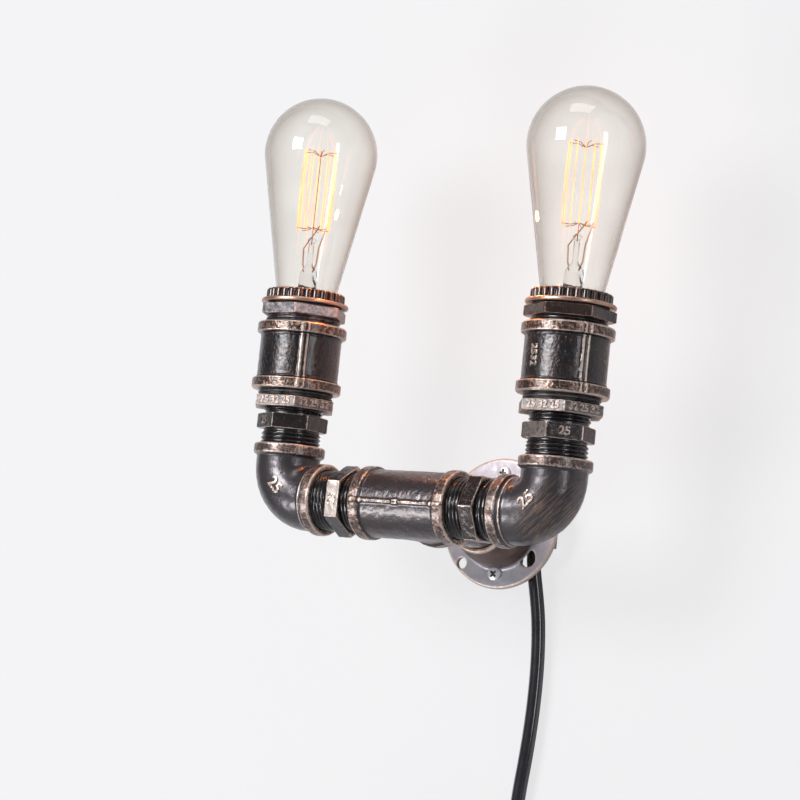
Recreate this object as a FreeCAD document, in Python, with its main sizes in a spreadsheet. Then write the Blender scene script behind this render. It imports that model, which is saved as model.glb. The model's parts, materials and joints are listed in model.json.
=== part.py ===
import FreeCAD, Part
import Sketcher
import math
import os
from FreeCAD import Placement, Rotation, Vector

# A two-arm wall light made of threaded pipe fittings, in millimetres.
# +X runs along the run of pipe, +Y into the wall, +Z up; the origin is on the wall behind the flange.

doc = FreeCAD.newDocument("pipe_wall_light")
sheet = doc.addObject("Spreadsheet::Sheet", "Sizes")

DRIVING = {
    # where the main pieces stand
    "run_reach": (108.5, "wall to the axis of the run"),
    "arm_offset": (86.0, "middle of the tee to the axis of each arm"),
    "stand_off": (12.0, "wall to the back of the flange"),
    # threads
    "pipe_radius": (16.62, "outside of the smaller pipe thread"),
    "pipe_bore": (13.4, "bore of the pipe and the fittings"),
    "wide_radius": (20.95, "outside of the larger bushing thread"),
    "thread_depth": (0.9, "depth of a thread"),
    "thread_pitch": (2.31, "pitch of a thread"),
    "fit_gap": (0.06, "radial clearance of a threaded fit"),
    # flange
    "plate_radius": (37.6, "flange plate"),
    "plate_thick": (3.2, "flange plate"),
    "hub_base": (25.6, "radius of the hub at the plate"),
    "hub_lip": (19.6, "outer radius of the hub's lip"),
    "hub_height": (27.0, "hub over the flange's back"),
    "screw_circle": (29.0, "flange centre to a flange screw"),
    "screw_radius": (2.0, "machine screw shank"),
    "head_radius": (4.1, "machine screw head"),
    "head_height": (2.5, "machine screw head"),
    "seat_gap": (0.3, "room round a screw head that is let into the hub's foot"),
    "plain_hole": (3.2, "radius of the flange's plain holes"),
    "plain_across": (22.9, "plain hole, sideways from the centre"),
    "plain_up": (24.2, "plain hole, up or down from the centre"),
    "cord_hole": (5.3, "radius of the large hole"),
    "cord_hole_x": (20.1, "large hole, to the right"),
    "cord_hole_z": (18.5, "large hole, below the centre"),
    # bracket
    "bracket_width": (18.0, "width of the strip"),
    "bracket_thick": (2.0, "thickness of the strip"),
    "bracket_foot": (21.0, "half height of the part on the wall"),
    "bracket_half": (35.0, "half height of the whole strip"),
    "wall_hole": (2.4, "radius of the wall holes"),
    "wall_hole_up": (12.0, "centre to a wall hole"),
    "earth_off": (5.0, "centre to the earth screw, to the left"),
    "lug_thick": (0.8, "earth lug"),
    "ear_length": (30.0, "centre to the end of the cord ear"),
    "ear_height": (11.0, "height of the cord ear"),
    "ear_drop": (6.0, "centre line down to the middle of the cord ear"),
    # fittings
    "bead_radius": (20.0, "elbow bead"),
    "bead_width": (5.7, "elbow bead"),
    "elbow_radius": (17.9, "elbow body"),
    "elbow_reach": (29.4, "elbow centre to face"),
    "elbow_bend": (18.6, "bend radius of the elbow"),
    "elbow_socket": (9.0, "depth of the elbow's threaded mouths"),
    "tee_socket": (11.0, "depth of the tee's threaded mouths"),
    "tee_half": (30.4, "tee centre to face"),
    "tee_radius": (18.8, "tee body"),
    "tee_bead": (20.4, "tee bead"),
    "tee_bead_width": (6.4, "tee bead"),
    "seam_height": (0.9, "casting seam over the tee's body"),
    "seam_width": (1.8, "casting seam"),
    # nipples
    "nipple_hex": (20.0, "nipple hexagon, centre to corner"),
    "nipple_hex_high": (8.4, "nipple hexagon"),
    "nipple_thread": (16.8, "length of each nipple thread"),
    "left_run_gap": (7.8, "tee face to the left run hexagon"),
    "right_run_gap": (9.5, "tee face to the right run hexagon"),
    # bushings and coupling
    "bush_hex": (25.0, "bushing hexagon, centre to corner"),
    "bush_hex_high": (5.85, "bushing hexagon"),
    "bush_thread": (12.0, "male thread of a bushing"),
    "coupling_length": (37.6, "coupling"),
    "coupling_radius": (22.8, "coupling body"),
    "coupling_bead": (25.1, "coupling bead"),
    "coupling_bead_width": (6.2, "coupling bead"),
    "rib_width": (4.6, "casting rib along the coupling"),
    "rib_height": (1.1, "casting rib over body and bead"),
    "coupling_gap": (4.3, "lower bushing hexagon to the coupling"),
    # stack gaps and turns, which the threads leave different on the two arms
    "left_riser_gap": (8.4, "left elbow to its riser hexagon"),
    "right_riser_gap": (9.2, "right elbow to its riser hexagon"),
    "left_bush_gap": (3.6, "left riser hexagon to its bushing"),
    "right_bush_gap": (5.5, "right riser hexagon to its bushing"),
    "left_top_gap": (4.5, "left coupling to its upper hexagon"),
    "right_top_gap": (3.4, "right coupling to its upper hexagon"),
    "left_nipple_turn": (29.8, "degrees"),
    "right_nipple_turn": (39.6, "degrees"),
    "left_lower_turn": (4.8, "degrees"),
    "right_lower_turn": (3.6, "degrees"),
    "left_upper_turn": (53.9, "degrees"),
    "right_upper_turn": (27.0, "degrees"),
    "left_rib_turn": (-50.3, "degrees"),
    "right_rib_turn": (-35.0, "degrees"),
    # socket ring and lampholder
    "gasket_thick": (1.1, "gasket under the ring"),
    "gasket_radius": (20.6, "gasket"),
    "ring_rim": (24.6, "rim of the ring"),
    "rim_thick": (2.2, "rim of the ring"),
    "ring_radius": (22.3, "fluted wall at its foot"),
    "ring_top_radius": (21.1, "fluted wall at its top"),
    "ring_height": (7.8, "ring, rim and fluted wall"),
    "ring_mouth": (18.3, "opening of the ring"),
    "flute_count": (28.0, "flutes round the ring"),
    "flute_depth": (0.75, "flute"),
    "holder_radius": (18.6, "threaded body of the lampholder"),
    "holder_shoulder": (19.9, "shoulder of the lampholder"),
    "holder_above": (5.0, "lampholder over the upper bushing"),
    "holder_below": (34.0, "lampholder under the top of the upper bushing"),
    "shell_radius": (14.6, "outside of the screw shell"),
    "shell_wall": (0.5, "screw shell"),
    "shell_low": (21.0, "foot of the screw shell under the bushing's top"),
    "floor_thick": (7.0, "floor of the lampholder"),
    # bulb
    "bulb_seat": (21.5, "bulb tip under the top of the upper bushing"),
    "bulb_length": (142.0, "bulb, tip to top"),
    "bulb_radius": (32.0, "widest part of the bulb"),
    "bulb_neck": (31.0, "tip to the start of the taper"),
    "neck_radius": (17.24, "glass at the start of its taper"),
    "glass_wall": (0.8, "bulb glass"),
    "cap_radius": (13.15, "crest of the cap's thread"),
    "cap_length": (25.0, "tip to the rim of the cap"),
    "cap_wall": (0.4, "cap"),
    "stem_top": (62.0, "tip to the top of the glass stem"),
    "filament_low": (66.0, "tip to the foot of the filament"),
    "filament_high": (112.0, "tip to the top of the filament"),
    "filament_radius": (9.0, "filament cage"),
    "filament_wire": (0.22, "filament, radius"),
    "strand_count": (12.0, "strands of the filament"),
    # wires and cord
    "wire_radius": (1.1, "insulated wire"),
    "wire_spread": (1.9, "middle of a pair to each wire"),
    "cord_radius": (4.0, "cord"),
    "strap_thick": (1.2, "cord saddle"),
    "strap_width": (7.0, "cord saddle"),
    "coil_radius": (44.0, "middle of the coil's turns"),
    "coil_step": (8.7, "turn to turn"),
    "coil_whole_turns": (5.0, "whole turns of the coil"),
    "coil_climb": (0.5, "turn in which the coil climbs to its second layer"),
    "coil_entry": (20.0, "degrees round the coil where the cord comes in"),
    "coil_lead": (8.0, "straight cord before the coil's first turn"),
    "plug_lead": (34.0, "straight cord from the coil to the plug"),
    "tie_width": (12.0, "tie round the coil"),
    "tie_thick": (0.8, "tie round the coil"),
    "tie_slack": (0.35, "tie to the cord inside it"),
    "plug_wide": (26.0, "plug body"),
    "plug_deep": (22.0, "plug body"),
    "plug_high": (22.0, "plug body without its strain relief"),
    "plug_neck": (7.2, "radius of the plug's strain relief"),
    "plug_neck_high": (20.0, "plug's strain relief"),
    "blade_high": (17.0, "plug blade"),
    "blade_wide": (6.3, "plug blade"),
    "blade_thick": (1.5, "plug blade"),
    "blade_half": (6.35, "middle of the plug to a blade"),
    "earth_pin": (2.4, "radius of the plug's round pin"),
    "connector_radius": (4.2, "inline wire connector"),
    "connector_length": (14.0, "inline wire connector"),
    "connector_off": (5.6, "pipe axis to a connector"),
}

for row, (alias, (value, note)) in enumerate(DRIVING.items(), start=1):
    sheet.set("A%d" % row, note)
    sheet.set("B%d" % row, str(value))
    sheet.setAlias("B%d" % row, alias)
doc.recompute()


class Size:
    """A length or angle that knows its value and its formula on the sheet."""

    def __init__(self, value, text):
        self.value = float(value)
        self.text = text

    @staticmethod
    def of(other):
        return other if isinstance(other, Size) else Size(other, repr(float(other)))

    def join(self, other, sign, value):
        other = Size.of(other)
        return Size(value(self.value, other.value), "(%s %s %s)" % (self.text, sign, other.text))

    def __add__(self, other):
        return self.join(other, "+", lambda a, b: a + b)

    def __sub__(self, other):
        return self.join(other, "-", lambda a, b: a - b)

    def __mul__(self, other):
        return self.join(other, "*", lambda a, b: a * b)

    def __truediv__(self, other):
        return self.join(other, "/", lambda a, b: a / b)

    def __radd__(self, other):
        return Size.of(other) + self

    def __rsub__(self, other):
        return Size.of(other) - self

    def __rmul__(self, other):
        return Size.of(other) * self

    def __neg__(self):
        return Size(-self.value, "(-%s)" % self.text)

    def __float__(self):
        return self.value


def root_of(size):
    """A square root."""
    return Size(math.sqrt(size.value), "sqrt(%s)" % size.text)


class Sizes:
    def __getattr__(self, alias):
        return Size(sheet.get(alias), "Sizes." + alias)


S = Sizes()
SUB_PARTS = []


def bind(thing, prop, size):
    thing.setExpression(prop, Size.of(size).text)


def place(thing, at=(0, 0, 0), turns=()):
    """Move a piece to a point after turning it about its own axes, last turn first."""
    rotation = Rotation()
    for axis, angle in turns:
        rotation = rotation.multiply(Rotation(Vector(*axis), float(angle)))
    thing.Placement = Placement(Vector(*[float(v) for v in at]), rotation)
    for letter, value in zip("xyz", at):
        bind(thing, "Placement.Base." + letter, value)
    return thing


def sub_part(thing, label):
    thing.Label = label
    SUB_PARTS.append(thing)
    return thing


def plane_of(body, role):
    return next(f for f in body.Origin.OriginFeatures if f.Role == role)


def draw_loop(sketch, corners):
    """A closed loop of straight lines whose corners are tied to the sheet."""
    first = sketch.GeometryCount
    points = [Vector(float(x), float(y), 0) for x, y in corners]
    count = len(points)
    for k in range(count):
        sketch.addGeometry(Part.LineSegment(points[k], points[(k + 1) % count]), False)
    for k in range(count):
        line = first + k
        before = first + (k - 1) % count
        sketch.addConstraint(Sketcher.Constraint("Coincident", before, 2, line, 1))
        for kind, value in (("DistanceX", corners[k][0]), ("DistanceY", corners[k][1])):
            size = Size.of(value)
            index = sketch.addConstraint(Sketcher.Constraint(kind, -1, 1, line, 1, size.value))
            if "Sizes" in size.text:
                bind(sketch, "Constraints[%d]" % index, size)


def draw_circle(sketch, x, y, radius):
    """A circle tied to the sheet."""
    centre = Vector(float(x), float(y), 0)
    circle = sketch.addGeometry(Part.Circle(centre, Vector(0, 0, 1), float(radius)), False)
    rules = (("DistanceX", x), ("DistanceY", y))
    for kind, value in rules:
        size = Size.of(value)
        index = sketch.addConstraint(Sketcher.Constraint(kind, -1, 1, circle, 3, size.value))
        if "Sizes" in size.text:
            bind(sketch, "Constraints[%d]" % index, size)
    index = sketch.addConstraint(Sketcher.Constraint("Radius", circle, float(radius)))
    bind(sketch, "Constraints[%d]" % index, radius)


def new_body(name):
    return doc.addObject("PartDesign::Body", name)


def new_sketch(body, name, role, lift=0):
    """A sketch on one of the body's own planes, lifted along its normal."""
    sketch = body.newObject("Sketcher::SketchObject", name)
    sketch.AttachmentSupport = (plane_of(body, role), "")
    sketch.MapMode = "FlatFace"
    sketch.AttachmentOffset = Placement(Vector(0, 0, float(lift)), Rotation())
    bind(sketch, "AttachmentOffset.Base.z", lift)
    return sketch


def turned(name, outline):
    """A body turned about its Z axis from an outline of (radius, height) corners."""
    body = new_body(name)
    sketch = new_sketch(body, name + "_outline", "XZ_Plane")
    draw_loop(sketch, outline)
    spin = body.newObject("PartDesign::Revolution", name + "_spin")
    spin.Profile = sketch
    spin.ReferenceAxis = (sketch, ["V_Axis"])
    spin.Angle = 360
    body.Tip = spin
    return body


def hexagon(corner, turn=0.0):
    """The six corners of a hexagon, as sizes."""
    return [
        (corner * round(math.cos(math.radians(60 * k + turn)), 9),
         corner * round(math.sin(math.radians(60 * k + turn)), 9))
        for k in range(6)
    ]


def add_pad(body, name, low, height, loops=(), circles=()):
    """A pad on the body's XY plane, from a height up, of loops and circles."""
    sketch = new_sketch(body, name + "_sketch", "XY_Plane", low)
    for corners in loops:
        draw_loop(sketch, corners)
    for x, y, radius in circles:
        draw_circle(sketch, x, y, radius)
    pad = body.newObject("PartDesign::Pad", name)
    pad.Profile = sketch
    pad.Length = float(height)
    bind(pad, "Length", height)
    body.Tip = pad
    return pad


def add_pocket(body, name, low, depth, loops=(), circles=()):
    """A pocket cut upwards from a height on the body's XY plane."""
    sketch = new_sketch(body, name + "_sketch", "XY_Plane", low)
    for corners in loops:
        draw_loop(sketch, corners)
    for x, y, radius in circles:
        draw_circle(sketch, x, y, radius)
    pocket = body.newObject("PartDesign::Pocket", name)
    pocket.Profile = sketch
    pocket.Length = float(depth)
    bind(pocket, "Length", depth)
    pocket.Reversed = True
    body.Tip = pocket
    return pocket


def box_loop(x0, x1, y0, y1):
    return [(x0, y0), (x1, y0), (x1, y1), (x0, y1)]


def box(name, low, high):
    """A block between two corners."""
    block = doc.addObject("Part::Box", name)
    for prop, a, b in zip(("Length", "Width", "Height"), low, high):
        setattr(block, prop, float(b) - float(a))
        bind(block, prop, Size.of(b) - a)
    return place(block, low)


def rod(name, radius, length, at=(0, 0, 0), turns=()):
    """A cylinder from a point along its turned Z axis."""
    bar = doc.addObject("Part::Cylinder", name)
    bar.Radius = float(radius)
    bar.Height = float(length)
    bind(bar, "Radius", radius)
    bind(bar, "Height", length)
    return place(bar, at, turns)


def fuse(name, pieces):
    union = doc.addObject("Part::MultiFuse", name)
    union.Shapes = pieces
    return union


def cut(name, base, tool):
    rest = doc.addObject("Part::Cut", name)
    rest.Base = base
    rest.Tool = tool
    return rest


def group(name, pieces):
    """Separate like solids that share one node."""
    union = doc.addObject("Part::Compound", name)
    union.Links = pieces
    return union


def ridges(crest, root, start, count, pitch):
    """Corners of thread ridges up from a height."""
    corners = []
    for k in range(count):
        foot = start + pitch * k
        corners += [(root, foot), (crest, foot + pitch * 0.3)]
        corners += [(crest, foot + pitch * 0.6), (root, foot + pitch * 0.9)]
    return corners


def turns_in(length):
    """Whole thread turns that fit a length with a plain end each way."""
    return int((float(length) - 2.0) / S.thread_pitch.value)


OUTWARDS = (((1, 0, 0), 90),)
RIGHTWARDS = (((0, 1, 0), 90),)
LEFTWARDS = (((0, 1, 0), -90), ((0, 0, 1), 180))
HALF_TURN = (((0, 0, 1), 180),)
SIDES = (("left", -1), ("right", 1))


# ---------------------------------------------------------------- wall side
def make_bracket():
    """The hat-shaped strip: its middle lies on the wall and its two ends carry the flange."""
    half = S.bracket_width / 2
    tab_low = S.stand_off - S.bracket_thick
    body = new_body("wall_bracket")
    foot = box_loop(-half, half, -S.bracket_foot, S.bracket_foot)
    add_pad(body, "bracket_foot_pad", 0, S.bracket_thick, [foot])
    for sign, name in ((1, "upper"), (-1, "lower")):
        inner = sign * (S.bracket_foot - S.bracket_thick)
        leg = box_loop(-half, half, inner, sign * S.bracket_foot)
        add_pad(body, name + "_leg", 0, S.stand_off, [leg])
        tab = box_loop(-half, half, inner, sign * S.bracket_half)
        add_pad(body, name + "_tab", tab_low, S.bracket_thick, [tab])
    ear_low = -S.ear_drop - S.ear_height / 2
    ear = box_loop(half - 1.0, S.ear_length, ear_low, ear_low + S.ear_height)
    add_pad(body, "cord_ear", 0, S.bracket_thick, [ear])
    holes = [(0, sign * S.wall_hole_up, S.wall_hole) for sign in (1, -1)]
    holes.append((-S.earth_off, 0, S.screw_radius + S.fit_gap))
    add_pocket(body, "wall_holes", 0, S.bracket_thick, circles=holes)
    feet = [(saddle_x(sign), -S.ear_drop, S.wire_radius + S.fit_gap) for sign in (1, -1)]
    add_pocket(body, "saddle_holes", 0, S.bracket_thick, circles=feet)
    taps = [(0, sign * S.screw_circle, S.screw_radius + S.fit_gap) for sign in (1, -1)]
    add_pocket(body, "tapped_holes", tab_low, S.bracket_thick, circles=taps)
    place(body, (0, 0, 0), OUTWARDS)
    return sub_part(body, "wall_bracket")


def saddle_x(sign):
    """Sideways place of a saddle screw, beside the cord."""
    return cord_start_x() + sign * (S.cord_radius + S.strap_thick + 2.4)


def cord_start_x():
    return S.cord_hole_x - 1.4


def cord_out():
    """Cord axis, out from the wall, where the saddle holds it on the ear."""
    return S.bracket_thick + S.cord_radius


def make_flange():
    """Round plate with a bell-shaped threaded hub."""
    back = S.stand_off
    face = back + S.plate_thick
    top = back + S.hub_height
    bore = S.pipe_radius + S.fit_gap
    swell = (S.hub_base - S.hub_lip)
    outline = [
        (bore, back),
        (S.plate_radius - 0.5, back),
        (S.plate_radius, back + 0.6),
        (S.plate_radius, face - 0.9),
        (S.plate_radius - 0.9, face),
        (S.hub_base + 1.2, face),
        (S.hub_base + 0.2, face + 0.8),
        (S.hub_base - swell * 0.06, face + S.hub_height * 0.2),
        (S.hub_base - swell * 0.25, face + S.hub_height * 0.38),
        (S.hub_base - swell * 0.6, face + S.hub_height * 0.56),
        (S.hub_lip + swell * 0.12, face + S.hub_height * 0.7),
        (S.hub_lip, face + S.hub_height * 0.78),
        (S.hub_lip, top - 0.8),
        (S.hub_lip - 0.8, top),
        (bore + 0.5, top),
        (bore, top - 0.5),
    ]
    body = turned("wall_flange", outline)
    screws = [(0, sign * S.screw_circle, S.screw_radius + 0.3) for sign in (1, -1)]
    add_pocket(body, "screw_holes", back, S.plate_thick, circles=screws)
    seats = [(0, sign * S.screw_circle, S.head_radius + S.seat_gap) for sign in (1, -1)]
    add_pocket(body, "screw_seats", face, S.head_height * 2, circles=seats)
    plain = [(-S.plain_across, -S.plain_up, S.plain_hole), (-S.plain_across, S.plain_up, S.plain_hole),
             (S.plain_across, S.plain_up, S.plain_hole), (S.cord_hole_x, -S.cord_hole_z, S.cord_hole)]
    add_pocket(body, "plain_holes", back, S.plate_thick, circles=plain)
    place(body, (0, 0, 0), OUTWARDS)
    return sub_part(body, "wall_flange")


def cross_screw(name, shank, length, head, head_height, at, turns):
    """A pan-head screw with a cross recess; its shank runs back from the head's seat."""
    outline = [
        (0, -length),
        (shank - 0.4, -length),
        (shank, -length + 0.5),
        (shank, 0),
        (head, 0),
        (head, head_height * 0.45),
        (head * 0.86, head_height * 0.8),
        (head * 0.55, head_height),
        (0, head_height),
    ]
    body = turned(name, outline)
    half = head * 0.13
    long = head * 0.56
    depth = head_height * 0.6
    add_pocket(body, name + "_slot_a", head_height - depth, depth, [box_loop(-long, long, -half, half)])
    add_pocket(body, name + "_slot_b", head_height - depth, depth, [box_loop(-half, half, -long, long)])
    return place(body, at, turns)


def make_flange_screws():
    seat = S.stand_off + S.plate_thick
    length = S.plate_thick + S.bracket_thick + 3.0
    screws = [
        cross_screw("flange_screw_%s" % word, S.screw_radius, length, S.head_radius, S.head_height,
                    (0, -seat, sign * S.screw_circle), OUTWARDS)
        for word, sign in (("top", 1), ("bottom", -1))
    ]
    return sub_part(group("flange_screws", screws), "flange_screws")


def make_earth_screw():
    """The screw that holds the earth lug on the bracket."""
    seat = S.bracket_thick + S.lug_thick
    screw = cross_screw("earth_screw", S.screw_radius, seat, S.head_radius * 0.8, S.head_height * 0.7,
                        (-S.earth_off, -seat, 0), OUTWARDS)
    return sub_part(screw, "earth_screw")


def make_wall_pipe():
    """Pipe nipple from the flange to the back of the tee, threaded at both ends."""
    low = S.stand_off + 1.0
    high = S.run_reach - S.tee_half + S.tee_socket - 1.0
    root = S.pipe_radius - S.thread_depth
    count = 8
    first = low + 0.8
    thread_end = first + S.thread_pitch * count
    last = high - 0.8 - S.thread_pitch * count
    outline = [(S.pipe_bore, low), (root, low)]
    outline += ridges(S.pipe_radius, root, first, count, S.thread_pitch)
    outline += [(S.pipe_radius, thread_end + 0.6), (S.pipe_radius, last - 0.6)]
    outline += ridges(S.pipe_radius, root, last, count, S.thread_pitch)
    outline += [(root, high), (S.pipe_bore, high)]
    body = turned("wall_pipe", outline)
    place(body, (0, 0, 0), OUTWARDS)
    return sub_part(body, "wall_pipe")


def make_saddle():
    """Strap over the cord, screwed to the bracket's ear at both feet."""
    inner = S.cord_radius + S.fit_gap * 2
    outer = inner + S.strap_thick
    wide = saddle_x(1) - cord_start_x() + 2.2
    hoop = rod("saddle_hoop", outer, S.strap_width)
    feet = box("saddle_feet", (-wide, 0, 0), (wide, S.strap_thick, S.strap_width))
    lift = cord_out() - S.bracket_thick
    place(feet, (-wide, -lift, 0))
    solid = fuse("saddle_solid", [hoop, feet])
    bore = rod("saddle_bore", inner, S.strap_width + 2, (0, 0, -1))
    below = box("saddle_below", (-wide - 1, -outer - 3, -1), (wide + 1, -lift, S.strap_width + 1))
    channel = box("saddle_channel", (-inner, -lift, -1), (inner, 0, S.strap_width + 1))
    holes = [
        rod("saddle_hole_%d" % k, S.wire_radius + S.fit_gap, outer * 4,
            (sign * (saddle_x(1) - cord_start_x()), -outer * 2, S.strap_width / 2), (((1, 0, 0), -90),))
        for k, sign in enumerate((1, -1))
    ]
    strap = cut("cord_saddle", solid, fuse("saddle_tools", [bore, below, channel] + holes))
    at = (cord_start_x(), -cord_out(), -S.ear_drop - S.strap_width / 2)
    place(strap, at, (((0, 0, 1), 180),))
    return sub_part(strap, "cord_saddle")


def make_saddle_screws():
    seat = S.bracket_thick + S.strap_thick
    screws = [
        cross_screw("saddle_screw_%s" % word, S.wire_radius, seat, S.head_radius * 0.52, S.head_height * 0.6,
                    (saddle_x(sign), -seat, -S.ear_drop), OUTWARDS)
        for word, sign in (("inner", -1), ("outer", 1))
    ]
    return sub_part(group("saddle_screws", screws), "saddle_screws")


# ---------------------------------------------------------------- fittings
def bead_outline(inner, body, bead, low, high, width):
    """A stretch of casting from a low plain end to a beaded face."""
    rise = (bead - body)
    return [
        (inner, low),
        (body, low),
        (body, high - width - rise * 0.5),
        (bead - 0.3, high - width),
        (bead, high - width + 0.6),
        (bead, high - 0.7),
        (bead - 0.7, high),
        (inner, high),
    ]


def mouth_tool(name, low, high, depth):
    """The hollow of a threaded mouth: a plain bore, then the wider socket."""
    socket = S.pipe_radius + S.fit_gap
    floor = high - depth
    outline = [
        (0, low), (S.pipe_bore, low), (S.pipe_bore, floor - 1.5), (socket, floor),
        (socket, high - 0.6), (socket + 0.6, high), (socket + 0.6, high + 1), (0, high + 1),
    ]
    return turned(name, outline)


def make_tee():
    """Run along X and branch towards the wall, each mouth beaded, with a casting seam in front."""
    half = S.tee_half
    run = turned("tee_run", bead_outline(0, S.tee_radius, S.tee_bead, 0, half, S.tee_bead_width))
    place(run, (0, 0, 0), RIGHTWARDS)
    back = turned("tee_run_left", bead_outline(0, S.tee_radius, S.tee_bead, 0, half, S.tee_bead_width))
    place(back, (0, 0, 0), LEFTWARDS)
    branch = turned("tee_branch", bead_outline(0, S.tee_radius, S.tee_bead, 0, half, S.tee_bead_width))
    place(branch, (0, 0, 0), (((1, 0, 0), -90),))
    seam_out = S.tee_radius + S.seam_height
    seam = box("tee_seam", (-half + 1, -seam_out, -S.seam_width / 2),
               (half - 1, -S.tee_radius + 1, S.seam_width / 2))
    bead_out = S.tee_bead + S.seam_height * 0.8
    tip = box("tee_seam_left", (-half + 1.2, -bead_out, -S.seam_width / 2),
              (S.tee_bead_width - half - 0.6, -S.tee_radius, S.seam_width / 2))
    tip_right = box("tee_seam_right", (half - S.tee_bead_width + 0.6, -bead_out, -S.seam_width / 2),
                    (half - 1.2, -S.tee_radius, S.seam_width / 2))
    knob = box("tee_seam_knob", (-1.7, -seam_out - 0.4, -S.seam_width * 0.8),
               (1.7, -S.tee_radius + 1, S.seam_width * 0.8))
    solid = fuse("tee_solid", [run, back, branch, seam, tip, tip_right, knob])
    tools = []
    for word, turns in (("right", RIGHTWARDS), ("left", LEFTWARDS), ("back", (((1, 0, 0), -90),))):
        tools.append(place(mouth_tool("tee_mouth_" + word, 0, half, S.tee_socket), (0, 0, 0), turns))
    tee = cut("tee", solid, fuse("tee_hollow", tools))
    place(tee, (0, -S.run_reach, 0))
    return sub_part(tee, "tee")


def elbow_bend(name, radius):
    """The quarter bend between the elbow's two legs, which point along +X and +Z."""
    bend = doc.addObject("Part::Torus", name)
    bend.Radius1 = float(S.elbow_bend)
    bend.Radius2 = float(radius)
    bend.Angle3 = 90
    bind(bend, "Radius1", S.elbow_bend)
    bind(bend, "Radius2", radius)
    return place(bend, (S.elbow_bend, 0, S.elbow_bend), (((1, 0, 0), 90), ((0, 0, 1), 180)))


def make_elbow(word, side):
    reach = S.elbow_reach
    legs = []
    tools = []
    for leg, turns in (("up", ()), ("in", RIGHTWARDS)):
        name = "%s_elbow_%s" % (word, leg)
        shape = bead_outline(0, S.elbow_radius, S.bead_radius, S.elbow_bend, reach, S.bead_width)
        legs.append(place(turned(name, shape), (0, 0, 0), turns))
        mouth = mouth_tool(name + "_mouth", S.elbow_bend, reach, S.elbow_socket)
        tools.append(place(mouth, (0, 0, 0), turns))
    solid = fuse(word + "_elbow_solid", legs + [elbow_bend(word + "_elbow_bend", S.elbow_radius)])
    hollow = fuse(word + "_elbow_hollow", tools + [elbow_bend(word + "_elbow_bore", S.pipe_bore)])
    elbow = cut(word + "_elbow", solid, hollow)
    place(elbow, (side * S.arm_offset, -S.run_reach, 0), HALF_TURN if side > 0 else ())
    return sub_part(elbow, word + "_elbow")


def nipple_body(name, hex_low, hex_turn):
    """A hexagon with a thread on each side, along Z."""
    root = S.pipe_radius - S.thread_depth
    neck = S.pipe_radius - S.thread_depth * 0.7
    low = hex_low - S.nipple_thread
    hex_high = hex_low + S.nipple_hex_high
    high = hex_high + S.nipple_thread
    count = turns_in(S.nipple_thread)
    outline = [(S.pipe_bore, low), (root - 0.3, low)]
    outline += ridges(S.pipe_radius, root, low + 0.5, count, S.thread_pitch)
    outline += [(neck, hex_low - 1.0), (neck, hex_high + 1.0)]
    outline += ridges(S.pipe_radius, root, high - 0.5 - S.thread_pitch * count, count, S.thread_pitch)
    outline += [(root - 0.3, high), (S.pipe_bore, high)]
    body = turned(name, outline)
    add_pad(body, name + "_hex", hex_low, S.nipple_hex_high, [hexagon(S.nipple_hex, hex_turn)],
            [(0, 0, S.pipe_bore)])
    return body


def make_run_nipple(word, side):
    gap = S.left_run_gap if side < 0 else S.right_run_gap
    # the left hexagon shows a flat in front, the right one a corner
    turn = 0 if side < 0 else 30
    body = nipple_body(word + "_run_nipple", S.tee_half + gap, turn)
    place(body, (0, -S.run_reach, 0), LEFTWARDS if side < 0 else RIGHTWARDS)
    return sub_part(body, word + "_run_nipple")


class Stack:
    """Heights along one arm over the run's axis, and the turns of its hexagons."""

    def __init__(self, word, side):
        left = side < 0
        self.word = word
        self.side = side
        self.at = (side * S.arm_offset, -S.run_reach, 0)
        self.riser = S.elbow_reach + (S.left_riser_gap if left else S.right_riser_gap)
        self.lower = self.riser + S.nipple_hex_high + (S.left_bush_gap if left else S.right_bush_gap)
        self.coupling = self.lower + S.bush_hex_high + S.coupling_gap
        top_gap = S.left_top_gap if left else S.right_top_gap
        self.upper = self.coupling + S.coupling_length + top_gap
        self.top = self.upper + S.bush_hex_high
        self.tip = self.top - S.bulb_seat
        self.nipple_turn = S.left_nipple_turn if left else S.right_nipple_turn
        self.lower_turn = S.left_lower_turn if left else S.right_lower_turn
        self.upper_turn = S.left_upper_turn if left else S.right_upper_turn
        self.rib_turn = S.left_rib_turn if left else S.right_rib_turn

    def put(self, thing, turn=0.0, name=None):
        place(thing, self.at)
        spin = Size.of(turn)
        thing.Placement = Placement(thing.Placement.Base, Rotation(Vector(0, 0, 1), spin.value))
        return sub_part(thing, self.word + "_" + name) if name else thing


def make_riser_nipple(stack):
    body = nipple_body(stack.word + "_riser_nipple", stack.riser, 0)
    stack.put(body, stack.nipple_turn, "riser_nipple")


def make_lower_bushing(stack):
    """Hexagon below, wide male thread up into the coupling, pipe thread inside."""
    low = stack.lower
    hex_top = low + S.bush_hex_high
    high = hex_top + S.coupling_gap + S.bush_thread
    bore = S.pipe_radius + S.fit_gap
    root = S.wide_radius - S.thread_depth
    outline = [(bore, low), (S.wide_radius - 0.4, low), (S.wide_radius - 0.4, hex_top), (root, hex_top + 0.6)]
    outline += ridges(S.wide_radius, root, hex_top + 1.0, turns_in(high - hex_top), S.thread_pitch)
    outline += [(root, high), (bore, high)]
    body = turned(stack.word + "_lower_bushing", outline)
    add_pad(body, stack.word + "_lower_hex", low, S.bush_hex_high, [hexagon(S.bush_hex)], [(0, 0, bore)])
    stack.put(body, stack.lower_turn, "lower_bushing")


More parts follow.
